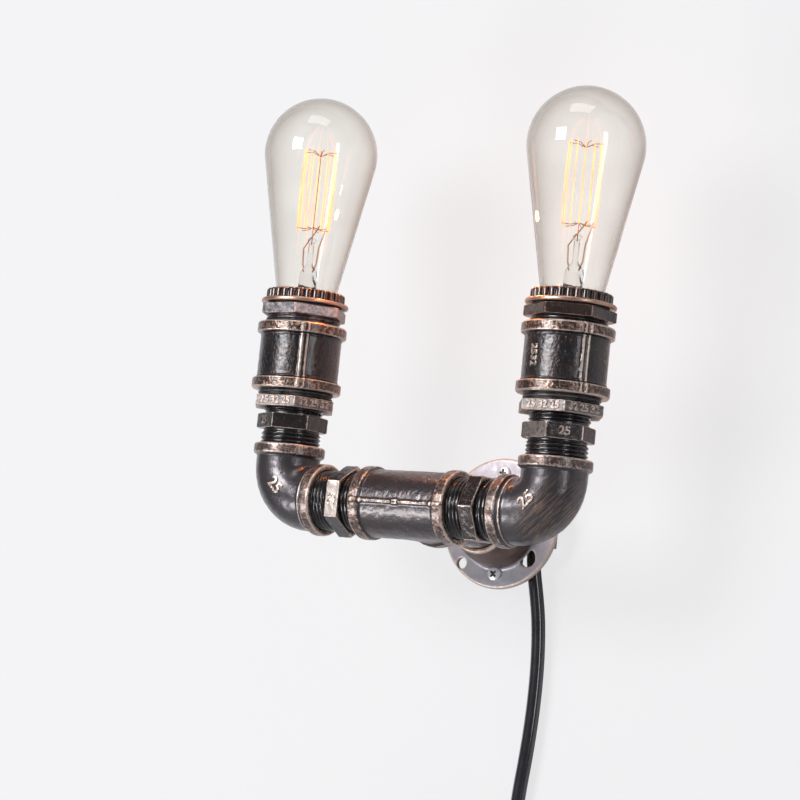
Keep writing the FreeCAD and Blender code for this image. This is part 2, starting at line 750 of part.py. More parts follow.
def make_coupling(stack):
    """Sleeve with a bead at each end and a casting rib on one side."""
    low = stack.coupling
    high = low + S.coupling_length
    width = S.coupling_bead_width
    bore = S.wide_radius + S.fit_gap
    rise = S.coupling_bead - S.coupling_radius
    bead = S.coupling_bead
    outline = [
        (bore + 0.5, low), (bead - 0.8, low), (bead, low + 0.8), (bead, low + width - 0.7),
        (bead - 0.4, low + width), (S.coupling_radius, low + width + rise * 0.5),
        (S.coupling_radius, high - width - rise * 0.5), (bead - 0.4, high - width),
        (bead, high - width + 0.7), (bead, high - 0.8), (bead - 0.8, high), (bore + 0.5, high),
        (bore, high - 0.5), (bore, low + 0.5),
    ]
    body = turned(stack.word + "_coupling", outline)
    half = S.rib_width / 2
    inside = bore + 0.9
    rib = box_loop(inside, S.coupling_radius + S.rib_height, -half, half)
    add_pad(body, stack.word + "_rib", low + 1.0, S.coupling_length - 2.0, [rib])
    for end, foot in (("low", low + 0.8), ("high", high - width + 0.6)):
        tip = box_loop(inside, S.coupling_bead + S.rib_height * 0.7, -half, half)
        add_pad(body, "%s_rib_%s" % (stack.word, end), foot, width - 1.4, [tip])
    stack.put(body, stack.rib_turn, "coupling")


def make_upper_bushing(stack):
    """Hexagon on top, wide male thread down into the coupling; the lampholder passes through it."""
    hex_low = stack.upper
    low = stack.coupling + S.coupling_length - S.bush_thread
    bore = S.holder_radius + S.fit_gap
    root = S.wide_radius - S.thread_depth
    outline = [(bore, low), (root, low)]
    outline += ridges(S.wide_radius, root, low + 0.4, turns_in(hex_low - low), S.thread_pitch)
    outline += [(root, hex_low - 0.3), (S.wide_radius - 0.4, hex_low), (S.wide_radius - 0.4, stack.top)]
    outline += [(bore, stack.top)]
    body = turned(stack.word + "_upper_bushing", outline)
    add_pad(body, stack.word + "_upper_hex", hex_low, S.bush_hex_high, [hexagon(S.bush_hex)], [(0, 0, bore)])
    stack.put(body, stack.upper_turn, "upper_bushing")


# ---------------------------------------------------------------- lampholder
def make_gasket(stack):
    low = stack.top
    inner = S.holder_radius + S.fit_gap
    high = low + S.gasket_thick - S.fit_gap
    outline = [(inner, low), (S.gasket_radius, low), (S.gasket_radius, high), (inner, high)]
    stack.put(turned(stack.word + "_gasket", outline), 0, "gasket")


def make_ring(stack):
    """Fluted ring that screws on the lampholder and clamps it to the bushing."""
    low = stack.top + S.gasket_thick
    rim_top = low + S.rim_thick
    high = low + S.ring_height
    thread = S.holder_radius + S.fit_gap
    floor = stack.top + S.holder_above + 0.4
    outline = [
        (thread, low), (S.ring_rim - 0.5, low), (S.ring_rim, low + 0.5), (S.ring_rim, rim_top - 0.6),
        (S.ring_rim - 0.8, rim_top), (S.ring_radius, rim_top), (S.ring_top_radius, high - 0.5),
        (S.ring_top_radius - 0.5, high), (S.ring_mouth, high), (S.ring_mouth, floor), (thread, floor),
    ]
    body = turned(stack.word + "_socket_ring", outline)
    sketch = new_sketch(body, stack.word + "_flute_sketch", "XY_Plane", rim_top + 0.3)
    reach = S.ring_radius + 0.6
    draw_circle(sketch, reach, 0, S.flute_depth + 0.75)
    flute = body.newObject("PartDesign::Pocket", stack.word + "_flute")
    flute.Profile = sketch
    flute.Length = float(S.ring_height)
    bind(flute, "Length", S.ring_height)
    flute.Reversed = True
    body.Tip = flute
    doc.recompute()
    spread = body.newObject("PartDesign::PolarPattern", stack.word + "_flutes")
    spread.Originals = [flute]
    spread.Axis = (plane_of(body, "Z_Axis"), "")
    spread.Angle = 360
    spread.Occurrences = int(S.flute_count.value)
    bind(spread, "Occurrences", S.flute_count)
    body.Tip = spread
    stack.put(body, 0, "socket_ring")


def make_holder_body(stack):
    """Insulating body: threaded top, clamping shoulder under the bushing, thick floor."""
    top = stack.top + S.holder_above
    foot = stack.top - S.holder_below
    shoulder = stack.coupling + S.coupling_length - S.bush_thread - S.fit_gap
    floor = foot + S.floor_thick
    cup = S.shell_radius + S.fit_gap
    outline = [
        (S.wire_radius + 0.6, foot), (S.holder_radius - 1.6, foot), (S.holder_radius - 0.8, foot + 0.8),
        (S.holder_radius - 0.8, shoulder - 5.0), (S.holder_shoulder, shoulder - 4.0),
        (S.holder_shoulder, shoulder), (S.holder_radius, shoulder), (S.holder_radius, top - 0.5),
        (S.holder_radius - 0.5, top), (cup, top), (cup, floor), (S.wire_radius + 0.6, floor),
    ]
    body = turned(stack.word + "_lampholder_body", outline)
    wells = [(sign * S.cap_radius * 0.68, 0, S.wire_radius + S.fit_gap) for sign in (1, -1)]
    add_pocket(body, stack.word + "_terminal_holes", foot, S.floor_thick, circles=wells)
    stack.put(body, 0, "lampholder_body")


def make_shell(stack):
    """Thin rolled-thread shell that takes the bulb's cap."""
    low = stack.top - S.shell_low
    high = stack.top + S.holder_above - 1.0
    inner = S.shell_radius - S.shell_wall
    pinch = S.shell_radius - S.shell_wall - 0.75
    pitch = S.thread_pitch * 1.57
    outside = [(S.shell_radius, low)]
    inside = []
    for k in range(5):
        foot = low + 1.5 + pitch * k
        outside += [(S.shell_radius, foot), (S.shell_radius - 0.75, foot + pitch * 0.5)]
        inside += [(inner, foot), (pinch, foot + pitch * 0.5)]
    last = low + 1.5 + pitch * 5
    outline = outside + [(S.shell_radius, last), (S.shell_radius, high), (inner, high), (inner, last)]
    outline += list(reversed(inside)) + [(inner, low)]
    stack.put(turned(stack.word + "_screw_shell", outline), 0, "screw_shell")


def make_contact(stack):
    """Springy centre contact: a strip bent up under the bulb's tip, on a rivet through the floor."""
    floor = stack.top - S.holder_below + S.floor_thick
    tip = stack.tip - S.fit_gap
    leaf = S.shell_wall
    side = S.wire_radius * 2
    base = box(stack.word + "_contact_base", (-6.5, -side, floor), (6.5, side, floor + leaf))
    rise = box(stack.word + "_contact_rise", (-6.5, -side, floor), (-6.5 + leaf, side, tip))
    tongue = box(stack.word + "_contact_tongue", (-6.5, -side, tip - leaf), (3.0, side, tip))
    rivet = rod(stack.word + "_contact_rivet", S.wire_radius, S.floor_thick, (0, 0, floor - S.floor_thick))
    stack.put(fuse(stack.word + "_centre_contact", [base, rise, tongue, rivet]), 0, "centre_contact")


def make_terminals(stack):
    foot = stack.top - S.holder_below
    screws = []
    for word, sign in (("live", 1), ("neutral", -1)):
        name = "%s_%s_terminal" % (stack.word, word)
        screws.append(cross_screw(name, S.wire_radius, S.floor_thick - 0.5, S.wire_radius * 2.2, 1.4,
                                  (sign * S.cap_radius * 0.68, 0, foot), (((1, 0, 0), 180),)))
    stack.put(group(stack.word + "_terminal_screws", screws), 0, "terminal_screws")


# ---------------------------------------------------------------- bulb
def taper():
    """Sine and cosine of the glass's taper, a straight line from the neck that runs into the dome."""
    rise = S.bulb_length - S.bulb_radius - S.bulb_neck
    away = S.neck_radius * S.neck_radius + rise * rise
    line = root_of(away - S.bulb_radius * S.bulb_radius)
    sine = (rise * S.bulb_radius - S.neck_radius * line) / away
    cosine = (S.neck_radius * S.bulb_radius + rise * line) / away
    return sine, cosine


def envelope(name, inset):
    """Tapered glass closed by a dome, drawn in by an inset on every side."""
    radius = S.bulb_radius - inset
    centre = S.bulb_length - S.bulb_radius
    sine, cosine = taper()
    meet = centre - radius * sine
    meet_radius = radius * cosine
    neck = meet_radius - (meet - S.bulb_neck) * sine / cosine
    seat = S.cap_length - 3.0
    throat = S.cap_radius - S.cap_wall - S.thread_depth - 0.4 - inset
    dome = doc.addObject("Part::Sphere", name + "_dome")
    dome.Radius = float(radius)
    bind(dome, "Radius", radius)
    place(dome, (0, 0, centre))
    below = box(name + "_dome_cut", (-radius - 1, -radius - 1, centre - radius - 1),
                (radius + 1, radius + 1, meet))
    cap = cut(name + "_dome_top", dome, below)
    cone = doc.addObject("Part::Cone", name + "_taper")
    for prop, value in (("Radius1", neck), ("Radius2", meet_radius), ("Height", meet - S.bulb_neck)):
        setattr(cone, prop, float(value))
        bind(cone, prop, value)
    place(cone, (0, 0, S.bulb_neck))
    foot = seat if inset == 0 else seat + 1.5
    shoulder = S.cap_length + 1.8
    # the throat sits in the cap and flares to the neck just over its rim
    outline = [(0, foot), (throat, foot), (throat, shoulder), (neck - 1.6, shoulder + 1.2),
               (neck - 0.4, shoulder + 2.8), (neck, S.bulb_neck), (0, S.bulb_neck)]
    throat_body = turned(name + "_throat", outline)
    return fuse(name + "_form", [cap, cone, throat_body])


def make_glass(stack):
    name = stack.word + "_bulb_glass"
    glass = cut(name, envelope(name + "_outer", 0), envelope(name + "_inner", S.glass_wall))
    lift_bulb(stack, glass, "bulb_glass")


def lift_bulb(stack, thing, name):
    """Bulb pieces are drawn from the bulb's tip and lifted to their seat."""
    x, y, _ = stack.at
    place(thing, (x, y, stack.tip))
    return sub_part(thing, stack.word + "_" + name)


def make_cap(stack):
    """Thin screw cap with rounded threads."""
    crest = S.cap_radius
    root = S.cap_radius - S.thread_depth
    wall = S.cap_wall
    pitch = S.thread_pitch * 1.57
    low = S.cap_length - 20.5
    outside = [(root, low)]
    inside = [(root - wall, low)]
    for k in range(4):
        foot = low + 0.8 + pitch * k
        outside += [(root, foot), (crest, foot + pitch * 0.5)]
        inside += [(root - wall, foot), (crest - wall, foot + pitch * 0.5)]
    last = low + 0.8 + pitch * 4
    outside += [(root, last), (root, S.cap_length), (root - wall, S.cap_length), (root - wall, last)]
    outline = outside + list(reversed(inside))
    lift_bulb(stack, turned(stack.word + "_bulb_cap", outline), "bulb_cap")


def make_insulator(stack):
    root = S.cap_radius - S.thread_depth
    low = S.cap_length - 20.5
    outline = [(2.2, 0.6), (4.8, 0.6), (root - 0.6, low - 0.4), (root - 0.6, low), (root - S.cap_wall, low),
               (root - S.cap_wall, low + 0.6), (2.2, low + 0.6)]
    lift_bulb(stack, turned(stack.word + "_cap_insulator", outline), "cap_insulator")


def make_tip(stack):
    outline = [(0, 0), (3.0, 0), (4.4, 0.6), (2.2, 0.6), (2.2, 3.0), (0, 3.0)]
    lift_bulb(stack, turned(stack.word + "_tip_contact", outline), "tip_contact")


def make_stem(stack):
    """Glass stem: a flared foot in the throat, a flattened press and a rod that carries the hooks."""
    foot = S.cap_length - 3.0 + 1.5
    throat = S.cap_radius - S.cap_wall - S.thread_depth - 0.4 - S.glass_wall
    outline = [
        (0, foot), (throat - 0.3, foot), (throat - 0.3, foot + 1.0), (6.4, foot + 5.0), (5.2, foot + 10.0),
        (5.0, foot + 17.0), (3.4, foot + 21.0), (1.7, foot + 23.0), (1.7, S.stem_top - 3.0),
        (2.6, S.stem_top - 1.5), (2.6, S.stem_top - 0.4), (1.6, S.stem_top), (0, S.stem_top),
    ]
    lift_bulb(stack, turned(stack.word + "_glass_stem", outline), "glass_stem")


def make_supports(stack):
    """Centre wire with a hook through each turn of the filament and one under each of its ends."""
    wire = S.filament_wire * 1.6
    reach = S.filament_radius + S.filament_wire * 2
    count = int(S.strand_count.value)
    half = S.filament_radius * round(math.sin(math.pi / count), 9)
    inside = S.filament_wire + wire
    foot = S.filament_low + inside
    levels = {"top": S.filament_high - inside, "foot": foot, "end": S.filament_low + half - wire}
    hooks = [(k + 0.5, "foot" if k % 2 else "top") for k in range(count - 1)]
    hooks += [(0, "end"), (count - 1, "end")]
    pieces = [rod(stack.word + "_centre_wire", wire, S.filament_high - S.stem_top, (0, 0, S.stem_top))]
    for number, (strand, level) in enumerate(hooks):
        turns = (((0, 0, 1), 360 * strand / count), ((0, 1, 0), 90))
        pieces.append(rod("%s_hook_%d" % (stack.word, number), wire, reach, (0, 0, levels[level]), turns))
    lift_bulb(stack, fuse(stack.word + "_filament_supports", pieces), "filament_supports")


def make_filament(stack):
    """One wire that runs up and down round the cage, with a round turn at each end of a strand."""
    count = int(S.strand_count.value)
    radius = S.filament_radius.value
    low = S.filament_low.value
    high = S.filament_high.value
    half = radius * math.sin(math.pi / count)
    edges = []
    spots = [Vector(radius * math.cos(2 * math.pi * k / count), radius * math.sin(2 * math.pi * k / count), 0)
             for k in range(count)]
    for k, spot in enumerate(spots):
        up = k % 2 == 0
        start, end = (low + half, high - half) if up else (high - half, low + half)
        edges.append(Part.LineSegment(spot + Vector(0, 0, start), spot + Vector(0, 0, end)).toShape())
        if k == count - 1:
            break
        after = spots[k + 1]
        middle = (spot + after) * 0.5 + Vector(0, 0, end + (half if up else -half))
        edges.append(Part.Arc(spot + Vector(0, 0, end), middle, after + Vector(0, 0, end)).toShape())
    path = Part.Wire(edges)
    start = spots[0] + Vector(0, 0, low + half)
    profile = Part.Wire([Part.Circle(start, Vector(0, 0, 1), S.filament_wire.value).toShape()])
    thing = doc.addObject("Part::Feature", stack.word + "_filament")
    thing.Shape = path.makePipeShell([profile], True, False)
    lift_bulb(stack, thing, "filament")


# ---------------------------------------------------------------- wires and cord
def rounded_path(points, share=0.45, report=None):
    """Straight runs joined by tangent arcs, each as large as its two runs allow."""
    points = [Vector(*[float(v) for v in p]) for p in points]
    edges = []
    start = points[0]
    radii = []
    for before, corner, after in zip(points, points[1:], points[2:]):
        come, leave = (corner - before), (after - corner)
        turn = come.getAngle(leave)
        setback = share * min(come.Length, leave.Length)
        radii.append(setback / math.tan(turn / 2))
        come.normalize()
        leave.normalize()
        enter, depart = corner - come * setback, corner + leave * setback
        inward = (leave - come).normalize()
        apex = radii[-1] * (1 / math.cos(turn / 2) - 1)
        edges.append(Part.LineSegment(start, enter).toShape())
        edges.append(Part.Arc(enter, corner + inward * apex, depart).toShape())
        start = depart
    edges.append(Part.LineSegment(start, points[-1]).toShape())
    if report:
        print(report, "bend radii", [round(r, 1) for r in radii])
    return Part.Wire(edges)


def tube(path, radius):
    """A round section swept along a wire from its first point."""
    edge = path.OrderedEdges[0]
    start = edge.valueAt(edge.FirstParameter)
    ahead = edge.tangentAt(edge.FirstParameter)
    section = Part.Wire([Part.Circle(start, ahead, radius).toShape()])
    return path.makePipeShell([section], True, False)


def wire_group(name, routes, radius=None):
    """Insulated wires along hand-chosen routes, one solid each."""
    thing = doc.addObject("Part::Feature", name)
    solids = [tube(rounded_path(route), radius or S.wire_radius.value) for route in routes]
    thing.Shape = Part.makeCompound(solids)
    return sub_part(thing, name)


def swivel_x():
    """Distance from the tee to the plane where an arm's wires meet the run's."""
    return S.arm_offset - S.elbow_reach - 1.0


def make_arm_wires(stack):
    """Two wires from the run's axis round the elbow and up to the terminals."""
    x, y, _ = [float(v) for v in stack.at]
    side = stack.side
    foot = float(stack.top - S.holder_below) - 1.4
    routes = []
    for sign in (1, -1):
        off = sign * S.wire_spread.value
        out = sign * S.cap_radius.value * 0.68
        routes.append([
            (side * (float(swivel_x()) + 1.3), y + off, 0),
            (side * (float(swivel_x()) + 14.0), y + off, 0.5),
            (x, y + off, float(S.elbow_bend)),
            (x + off * 0.9, y + off * 0.6, float(stack.riser)),
            (x + out * 0.7, y, foot - 16.0),
            (x + out, y, foot - 8.0),
            (x + out, y, foot - 0.05),
        ])
    return wire_group(stack.word + "_arm_wires", routes)


def connector_span():
    """Distances from the wall to the inner and outer ends of the wire connectors."""
    inner = S.stand_off.value + S.hub_height.value * 0.6
    return inner, inner + S.connector_length.value


def make_run_wires():
    """Two wires each way from the connectors, through the tee, to the swivel planes."""
    y = -S.run_reach.value
    reach = float(swivel_x()) + 1.0
    branch = float(S.run_reach - S.tee_half)
    outer = connector_span()[1]
    lane = S.wire_radius.value * 1.5
    lift = S.connector_off.value
    routes = []
    for side in (-1, 1):
        for sign in (1, -1):
            off = sign * S.wire_spread.value
            routes.append([
                (side * reach, y + off, 0),
                (side * reach * 0.55, y + off, 0.4),
                (side * lane * 3.4, y + 7.0 + off * 0.6, sign * lift * 0.45),
                (side * lane, -branch, sign * lift * 0.85),
                (side * lane, -(branch + outer) / 2 - 2.0, sign * lift * 0.95),
                (side * lane, -outer - 0.05, sign * lift),
            ])
    return wire_group("run_wires", routes)


def make_connectors():
    """Two inline connectors in the wall pipe, live above and neutral below."""
    outer = connector_span()[1]
    barrels = [
        rod("connector_" + word, S.connector_radius, S.connector_length, (0, -outer, sign * S.connector_off),
            (((1, 0, 0), -90),))
        for word, sign in (("live", 1), ("neutral", -1))
    ]
    return sub_part(group("wire_connectors", barrels), "wire_connectors")


def make_supply_wires():
    """Live and neutral from the cord's end, through the gap behind the flange, into the pipe."""
    x, y = float(cord_start_x()), -float(cord_out())
    inner = connector_span()[0] - 0.05
    lift = S.connector_off.value
    mouth = -S.stand_off.value
    live = [
        (x + 1.7, y - 1.4, 0.15), (x + 1.7, y - 1.8, 5.0), (13.0, y - 3.0, 8.5), (6.5, mouth - 1.0, 8.2),
        (1.5, mouth - 6.0, lift + 1.2), (0, mouth - 11.0, lift + 0.2), (0, -inner, lift),
    ]
    neutral = [
        (x - 1.7, y - 1.4, 0.45), (x - 2.1, y - 2.0, 2.2), (12.0, y - 3.8, 0), (6.0, mouth - 1.0, -4.5),
        (1.2, mouth - 6.0, -lift - 0.6), (0, mouth - 11.0, -lift - 0.1), (0, -inner, -lift),
    ]
    return wire_group("supply_wires", [live, neutral])


def make_earth_wire():
    """Earth wire from the cord's end to a ring lug under the bracket's screw."""
    x, y = float(cord_start_x()), -float(cord_out())
    thick = S.lug_thick.value
    screw = S.screw_radius.value
    out = Vector(0, -1, 0)
    seat = Vector(-S.earth_off.value, -S.bracket_thick.value, 0)
    tilt = math.radians(31.6)
    along = Vector(math.cos(tilt), 0, math.sin(tilt))
    barrel = seat + out * (screw * 0.7)
    ring = Part.makeCylinder(screw * 2, thick, seat, out)
    neck = Part.makeCylinder(screw * 0.7, screw * 2.3, barrel + along * screw * 1.75, along)
    hole = Part.makeCylinder(screw + S.fit_gap.value, thick * 3, seat - out * thick, out)
    head_room = Part.makeCylinder(screw * 1.75, thick * 3, seat + out * thick, out)
    lug = ring.fuse(neck).cut(hole).cut(head_room)
    end = barrel + along * (screw * 4.05 + 0.03)
    route = [(x, y + 1.7, 0.15), (x - 0.2, y + 1.8, 3.4), (11.5, y + 2.3, 7.0), tuple(end + along * 4.0),
             tuple(end)]
    thing = doc.addObject("Part::Feature", "earth_wire")
    thing.Shape = Part.makeCompound([lug, tube(rounded_path(route), S.wire_radius.value)])
    return sub_part(thing, "earth_wire")


def cord_route():
    """The cord's hand-chosen points from the saddle; the last run aims into the coil's first turn."""
    points = [
        (18.7, -6.0, 0.0),
        (18.7, -6.0, -14.0),
        (20.4, -6.1, -26.0),
        (23.2, -5.9, -38.0),
        (26.2, -5.5, -54.0),
        (28.0, -5.3, -76.0),
        (28.2, -5.4, -101.0),
        (26.6, -5.3, -127.0),
        (23.8, -5.2, -152.0),
        (22.6, -5.2, -177.0),
    ]
    last_run = 25.0
    points.append(tuple(Vector(*points[-1]) + Coil().heading(0) * last_run))
    return points


def make_cord():
    route = cord_route()
    path = rounded_path(route, report="cord")
    thing = doc.addObject("Part::Feature", "cord")
    thing.Shape = tube(path, S.cord_radius.value)
    section = math.pi * S.cord_radius.value ** 2
    ratio = thing.Shape.Volume / section / path.Length
    print("cord length", round(path.Length, 1), "volume ratio", round(ratio, 5))
    return sub_part(thing, "cord")


def biarc(p0, t0, p1, t1):
    """Two tangent arcs from one point and heading to another."""
    chord = p1 - p0
    both = t0 + t1
    spread = 2 * (1 - t0.dot(t1))
    reach = (-chord.dot(both) + math.sqrt(chord.dot(both) ** 2 + spread * chord.dot(chord))) / spread
    q0, q1 = p0 + t0 * reach, p1 - t1 * reach
    joint = (q0 + q1) * 0.5
    arcs = []
    for a, corner, b in ((p0, q0, joint), (joint, q1, p1)):
        base = (a + b) * 0.5
        half_turn = (corner - a).getAngle(b - corner) / 2
        rise = (corner - base)
        sagitta = (b - a).Length / 2 * math.tan(half_turn / 2)
        arcs.append(Part.Arc(a, base + rise.normalize() * sagitta, b).toShape())
    return arcs


class Coil:
    """The cord's spare length in two layers: its turns wind in, climb a layer and wind out again."""

    def __init__(self, start=None):
        self.step = S.coil_step.value
        self.climb = S.coil_climb.value
        self.layer = self.step
        self.entry = math.radians(S.coil_entry.value)
        about = S.coil_radius.value + self.step * S.coil_whole_turns.value / 4
        end = -math.atan(self.step / (2 * math.pi * about))
        self.total = S.coil_whole_turns.value + (self.entry - end) / (2 * math.pi)
        self.middle = self.total / 2
        self.outer = S.coil_radius.value + self.step * (self.total - self.climb) / 4
        self.lead = S.coil_lead.value
        self.centre = Vector(0, 0, 0)
        if start:
            self.centre = Vector(*start) + self.heading(0) * self.lead - self.spot(0)

    def reach(self, turn):
        """Radius after a number of turns; it shrinks and grows again round the middle."""
        away = turn - self.middle
        least = self.outer - self.step * self.middle
        if abs(away) < self.climb / 2:
            return least + self.step * (away ** 2 / self.climb + self.climb / 4)
        return least + self.step * abs(away)

    def spot(self, turn):
        """Point after a number of turns, clockwise as the viewer sees it."""
        share = min(max((turn - self.middle) / self.climb + 0.5, 0.0), 1.0)
        out = self.layer * (3 * share ** 2 - 2 * share ** 3)
        angle = self.entry - 2 * math.pi * turn
        reach = self.reach(turn)
        return self.centre + Vector(reach * math.cos(angle), -out, reach * math.sin(angle))

    def heading(self, turn):
        delta = 1e-4
        return (self.spot(turn + delta) - self.spot(turn - delta)).normalize()

    def path(self):
        """Quarter turns as pairs of tangent arcs, with a straight end each way."""
        quarters = int(round(self.total * 4))
        knots = [self.total * k / quarters for k in range(quarters + 1)]
        edges = [Part.LineSegment(self.spot(0) - self.heading(0) * self.lead, self.spot(0)).toShape()]
        for a, b in zip(knots, knots[1:]):
            edges += biarc(self.spot(a), self.heading(a), self.spot(b), self.heading(b))
        edges.append(Part.LineSegment(self.spot(self.total), self.end()).toShape())
        return Part.Wire(edges)

    def end(self):
        return self.spot(self.total) + self.heading(self.total) * S.plug_lead.value

    def least_gap(self, length):
        """Smallest gap between two turns, measured on points of the centre line."""
        count = 900
        points = [self.spot(self.total * k / count) for k in range(count + 1)]
        skip = int(6 * S.cord_radius.value / (length / count))
        pairs = ((a, b) for a in range(0, count, 2) for b in range(a + skip, count + 1, 2))
        return min((points[a] - points[b]).Length for a, b in pairs) - 2 * S.cord_radius.value


def make_coil():
    coil = Coil(cord_route()[-1])
    path = coil.path()
    thing = doc.addObject("Part::Feature", "cord_coil")
    thing.Shape = tube(path, S.cord_radius.value)
    section = math.pi * S.cord_radius.value ** 2
    ratio = thing.Shape.Volume / section / path.Length
    print("coil length", round(path.Length, 1), "volume ratio", round(ratio, 5))
    print("coil least gap to itself", round(coil.least_gap(path.Length), 2))
    print("coil centre", coil.centre, "starts", cord_route()[-1], "ends", coil.end())
    return sub_part(thing, "cord_coil")


def make_tie():
    """Flat band round the coil's bundle at its top."""
    coil = Coil(cord_route()[-1])
    cord = S.cord_radius.value
    slack = S.tie_slack.value
    low = coil.reach(coil.middle) - cord - 2 * slack
    high = coil.outer + cord + slack
    back = coil.centre.y + cord + slack
    front = coil.centre.y - coil.layer - cord - slack
    wide = S.tie_width
    thick = S.tie_thick
    centre = coil.centre
    x0 = Size.of(centre.x) - wide / 2
    x1 = Size.of(centre.x) + wide / 2
    outer = box("tie_outer", (x0, front - thick, centre.z + low - thick),
                (x1, back + thick, centre.z + high + thick))
    inner = box("tie_inner", (x0 - 1, front, centre.z + low), (x1 + 1, back, centre.z + high))
    return sub_part(cut("cord_tie", outer, inner), "cord_tie")


def at_plug(thing):
    """Plug pieces are drawn up from the cord's end and turned to follow it."""
    coil = Coil(cord_route()[-1])
    ahead = coil.heading(coil.total)
    across = Vector(0, 1, 0)
    thing.Placement = Placement(coil.end(), Rotation(across.cross(ahead), across, ahead, "ZYX"))
    return thing


def make_plug():
    """Moulded plug body with a tapered strain relief, two blades and a round earth pin."""
    neck = S.plug_neck_high
    top = neck + S.plug_high
    mouth = S.cord_radius + 1.3
    outline = [
        (0, 0), (mouth, 0), (mouth + 0.3, 1.0), (S.plug_neck, neck - 1.0), (S.plug_neck + 1.5, neck + 2.0),
        (0, neck + 2.0),
    ]
    body = turned("plug_body", outline)
    x, y, bevel = S.plug_wide / 2, S.plug_deep / 2, S.plug_deep * 0.22
    loop = [(x, bevel - y), (x, y - bevel), (x - bevel, y), (bevel - x, y), (-x, y - bevel), (-x, bevel - y),
            (bevel - x, -y), (x - bevel, -y)]
    add_pad(body, "plug_block", neck, S.plug_high, [loop])
    at_plug(body)
    sub_part(body, "plug_body")
    blades = []
    blade_y = S.plug_deep * 0.12
    for word, sign in (("left", -1), ("right", 1)):
        blade = new_body("plug_blade_" + word)
        middle = sign * S.blade_half
        edge = S.blade_thick / 2
        loop = box_loop(middle - edge, middle + edge, blade_y, blade_y + S.blade_wide)
        add_pad(blade, "blade_%s_pad" % word, top, S.blade_high, [loop])
        blades.append(blade)
    sub_part(at_plug(group("plug_blades", blades)), "plug_blades")
    pin_end = top + S.blade_high + 2.6
    shoulder = pin_end - 2.0
    pin = turned("plug_earth_pin", [
        (0, top), (S.earth_pin, top), (S.earth_pin, shoulder), (S.earth_pin * 0.4, pin_end), (0, pin_end),
    ])
    at_plug(pin)
    pin.Placement = pin.Placement.multiply(Placement(Vector(0, -S.plug_deep.value * 0.26, 0), Rotation()))
    sub_part(pin, "plug_earth_pin")


def check_and_export():
    """Every object must have recomputed and every sub-part must be sound before a file is written."""
    doc.recompute()
    for thing in doc.Objects:
        if "Invalid" in thing.State or "Error" in thing.State:
            raise RuntimeError("%s failed to recompute" % thing.Name)
    for thing in SUB_PARTS:
        if thing.Shape.isNull() or not thing.Shape.isValid():
            raise RuntimeError("%s has no sound shape" % thing.Label)
    os.makedirs("parts", exist_ok=True)
    for thing in SUB_PARTS:
        thing.Shape.exportStep("parts/%s.step" % thing.Label)
    print(len(SUB_PARTS), "sub-parts written")


make_bracket()
make_flange()
make_flange_screws()
make_earth_screw()
make_wall_pipe()
make_saddle()
make_saddle_screws()
make_tee()
for word, side in SIDES:
    make_run_nipple(word, side)
    make_elbow(word, side)
    stack = Stack(word, side)
    for make in (make_riser_nipple, make_lower_bushing, make_coupling, make_upper_bushing, make_gasket,
                 make_ring, make_holder_body, make_shell, make_contact, make_terminals, make_glass, make_cap,
                 make_insulator, make_tip, make_stem, make_supports, make_filament, make_arm_wires):
        make(stack)
make_run_wires()
make_connectors()
make_supply_wires()
make_earth_wire()
make_cord()
make_coil()
make_tie()
make_plug()
check_and_export()
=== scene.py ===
"""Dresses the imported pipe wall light: worn lacquered castings, threads, lit bulbs and the cord.

Sizes of the real pieces are in millimetres inside the makers and in metres in the properties.
"""
import json
import math
from contextlib import contextmanager

import bmesh
import bpy
import numpy as np
from bpy.props import FloatProperty, FloatVectorProperty, IntProperty, PointerProperty
from bpy.types import Operator, Panel, PropertyGroup
from mathutils import Matrix, Vector, noise
from mathutils.bvhtree import BVHTree

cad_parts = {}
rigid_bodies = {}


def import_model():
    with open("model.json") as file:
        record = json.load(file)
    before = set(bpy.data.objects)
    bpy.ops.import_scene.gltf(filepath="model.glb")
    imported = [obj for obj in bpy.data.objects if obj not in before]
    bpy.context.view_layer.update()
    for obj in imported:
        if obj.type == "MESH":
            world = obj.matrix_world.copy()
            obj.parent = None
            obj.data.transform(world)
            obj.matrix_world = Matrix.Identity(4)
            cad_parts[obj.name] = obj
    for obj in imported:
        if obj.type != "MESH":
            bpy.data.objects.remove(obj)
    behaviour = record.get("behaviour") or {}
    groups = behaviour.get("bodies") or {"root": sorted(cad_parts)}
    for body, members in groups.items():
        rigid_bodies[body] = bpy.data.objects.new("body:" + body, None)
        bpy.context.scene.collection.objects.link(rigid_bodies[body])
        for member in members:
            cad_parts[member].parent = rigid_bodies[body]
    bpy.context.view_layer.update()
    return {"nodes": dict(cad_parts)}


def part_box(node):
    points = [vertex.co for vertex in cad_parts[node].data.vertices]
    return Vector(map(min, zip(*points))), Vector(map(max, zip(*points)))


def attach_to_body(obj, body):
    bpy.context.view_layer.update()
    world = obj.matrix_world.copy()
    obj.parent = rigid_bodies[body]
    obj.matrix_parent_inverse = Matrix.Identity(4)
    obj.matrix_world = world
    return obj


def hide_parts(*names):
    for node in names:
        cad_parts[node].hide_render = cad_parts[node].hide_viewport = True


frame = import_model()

bl_info = {
    "name": "Pipe Wall Light",
    "version": (1, 0, 0),
    "blender": (4, 5, 0),
    "location": "3D View > Sidebar > Pipe Light",
    "description": "Builds the finished pieces of a two-arm wall light of threaded pipe fittings",
    "category": "Object",
}

MM = 0.001
SIDES = (("left", -1), ("right", 1))
TO_RIGHT = Matrix.Rotation(math.radians(90), 4, "Y")
TO_LEFT = Matrix.Rotation(math.radians(-90), 4, "Y") @ Matrix.Rotation(math.radians(180), 4, "Z")
TO_ROOM = Matrix.Rotation(math.radians(90), 4, "X")


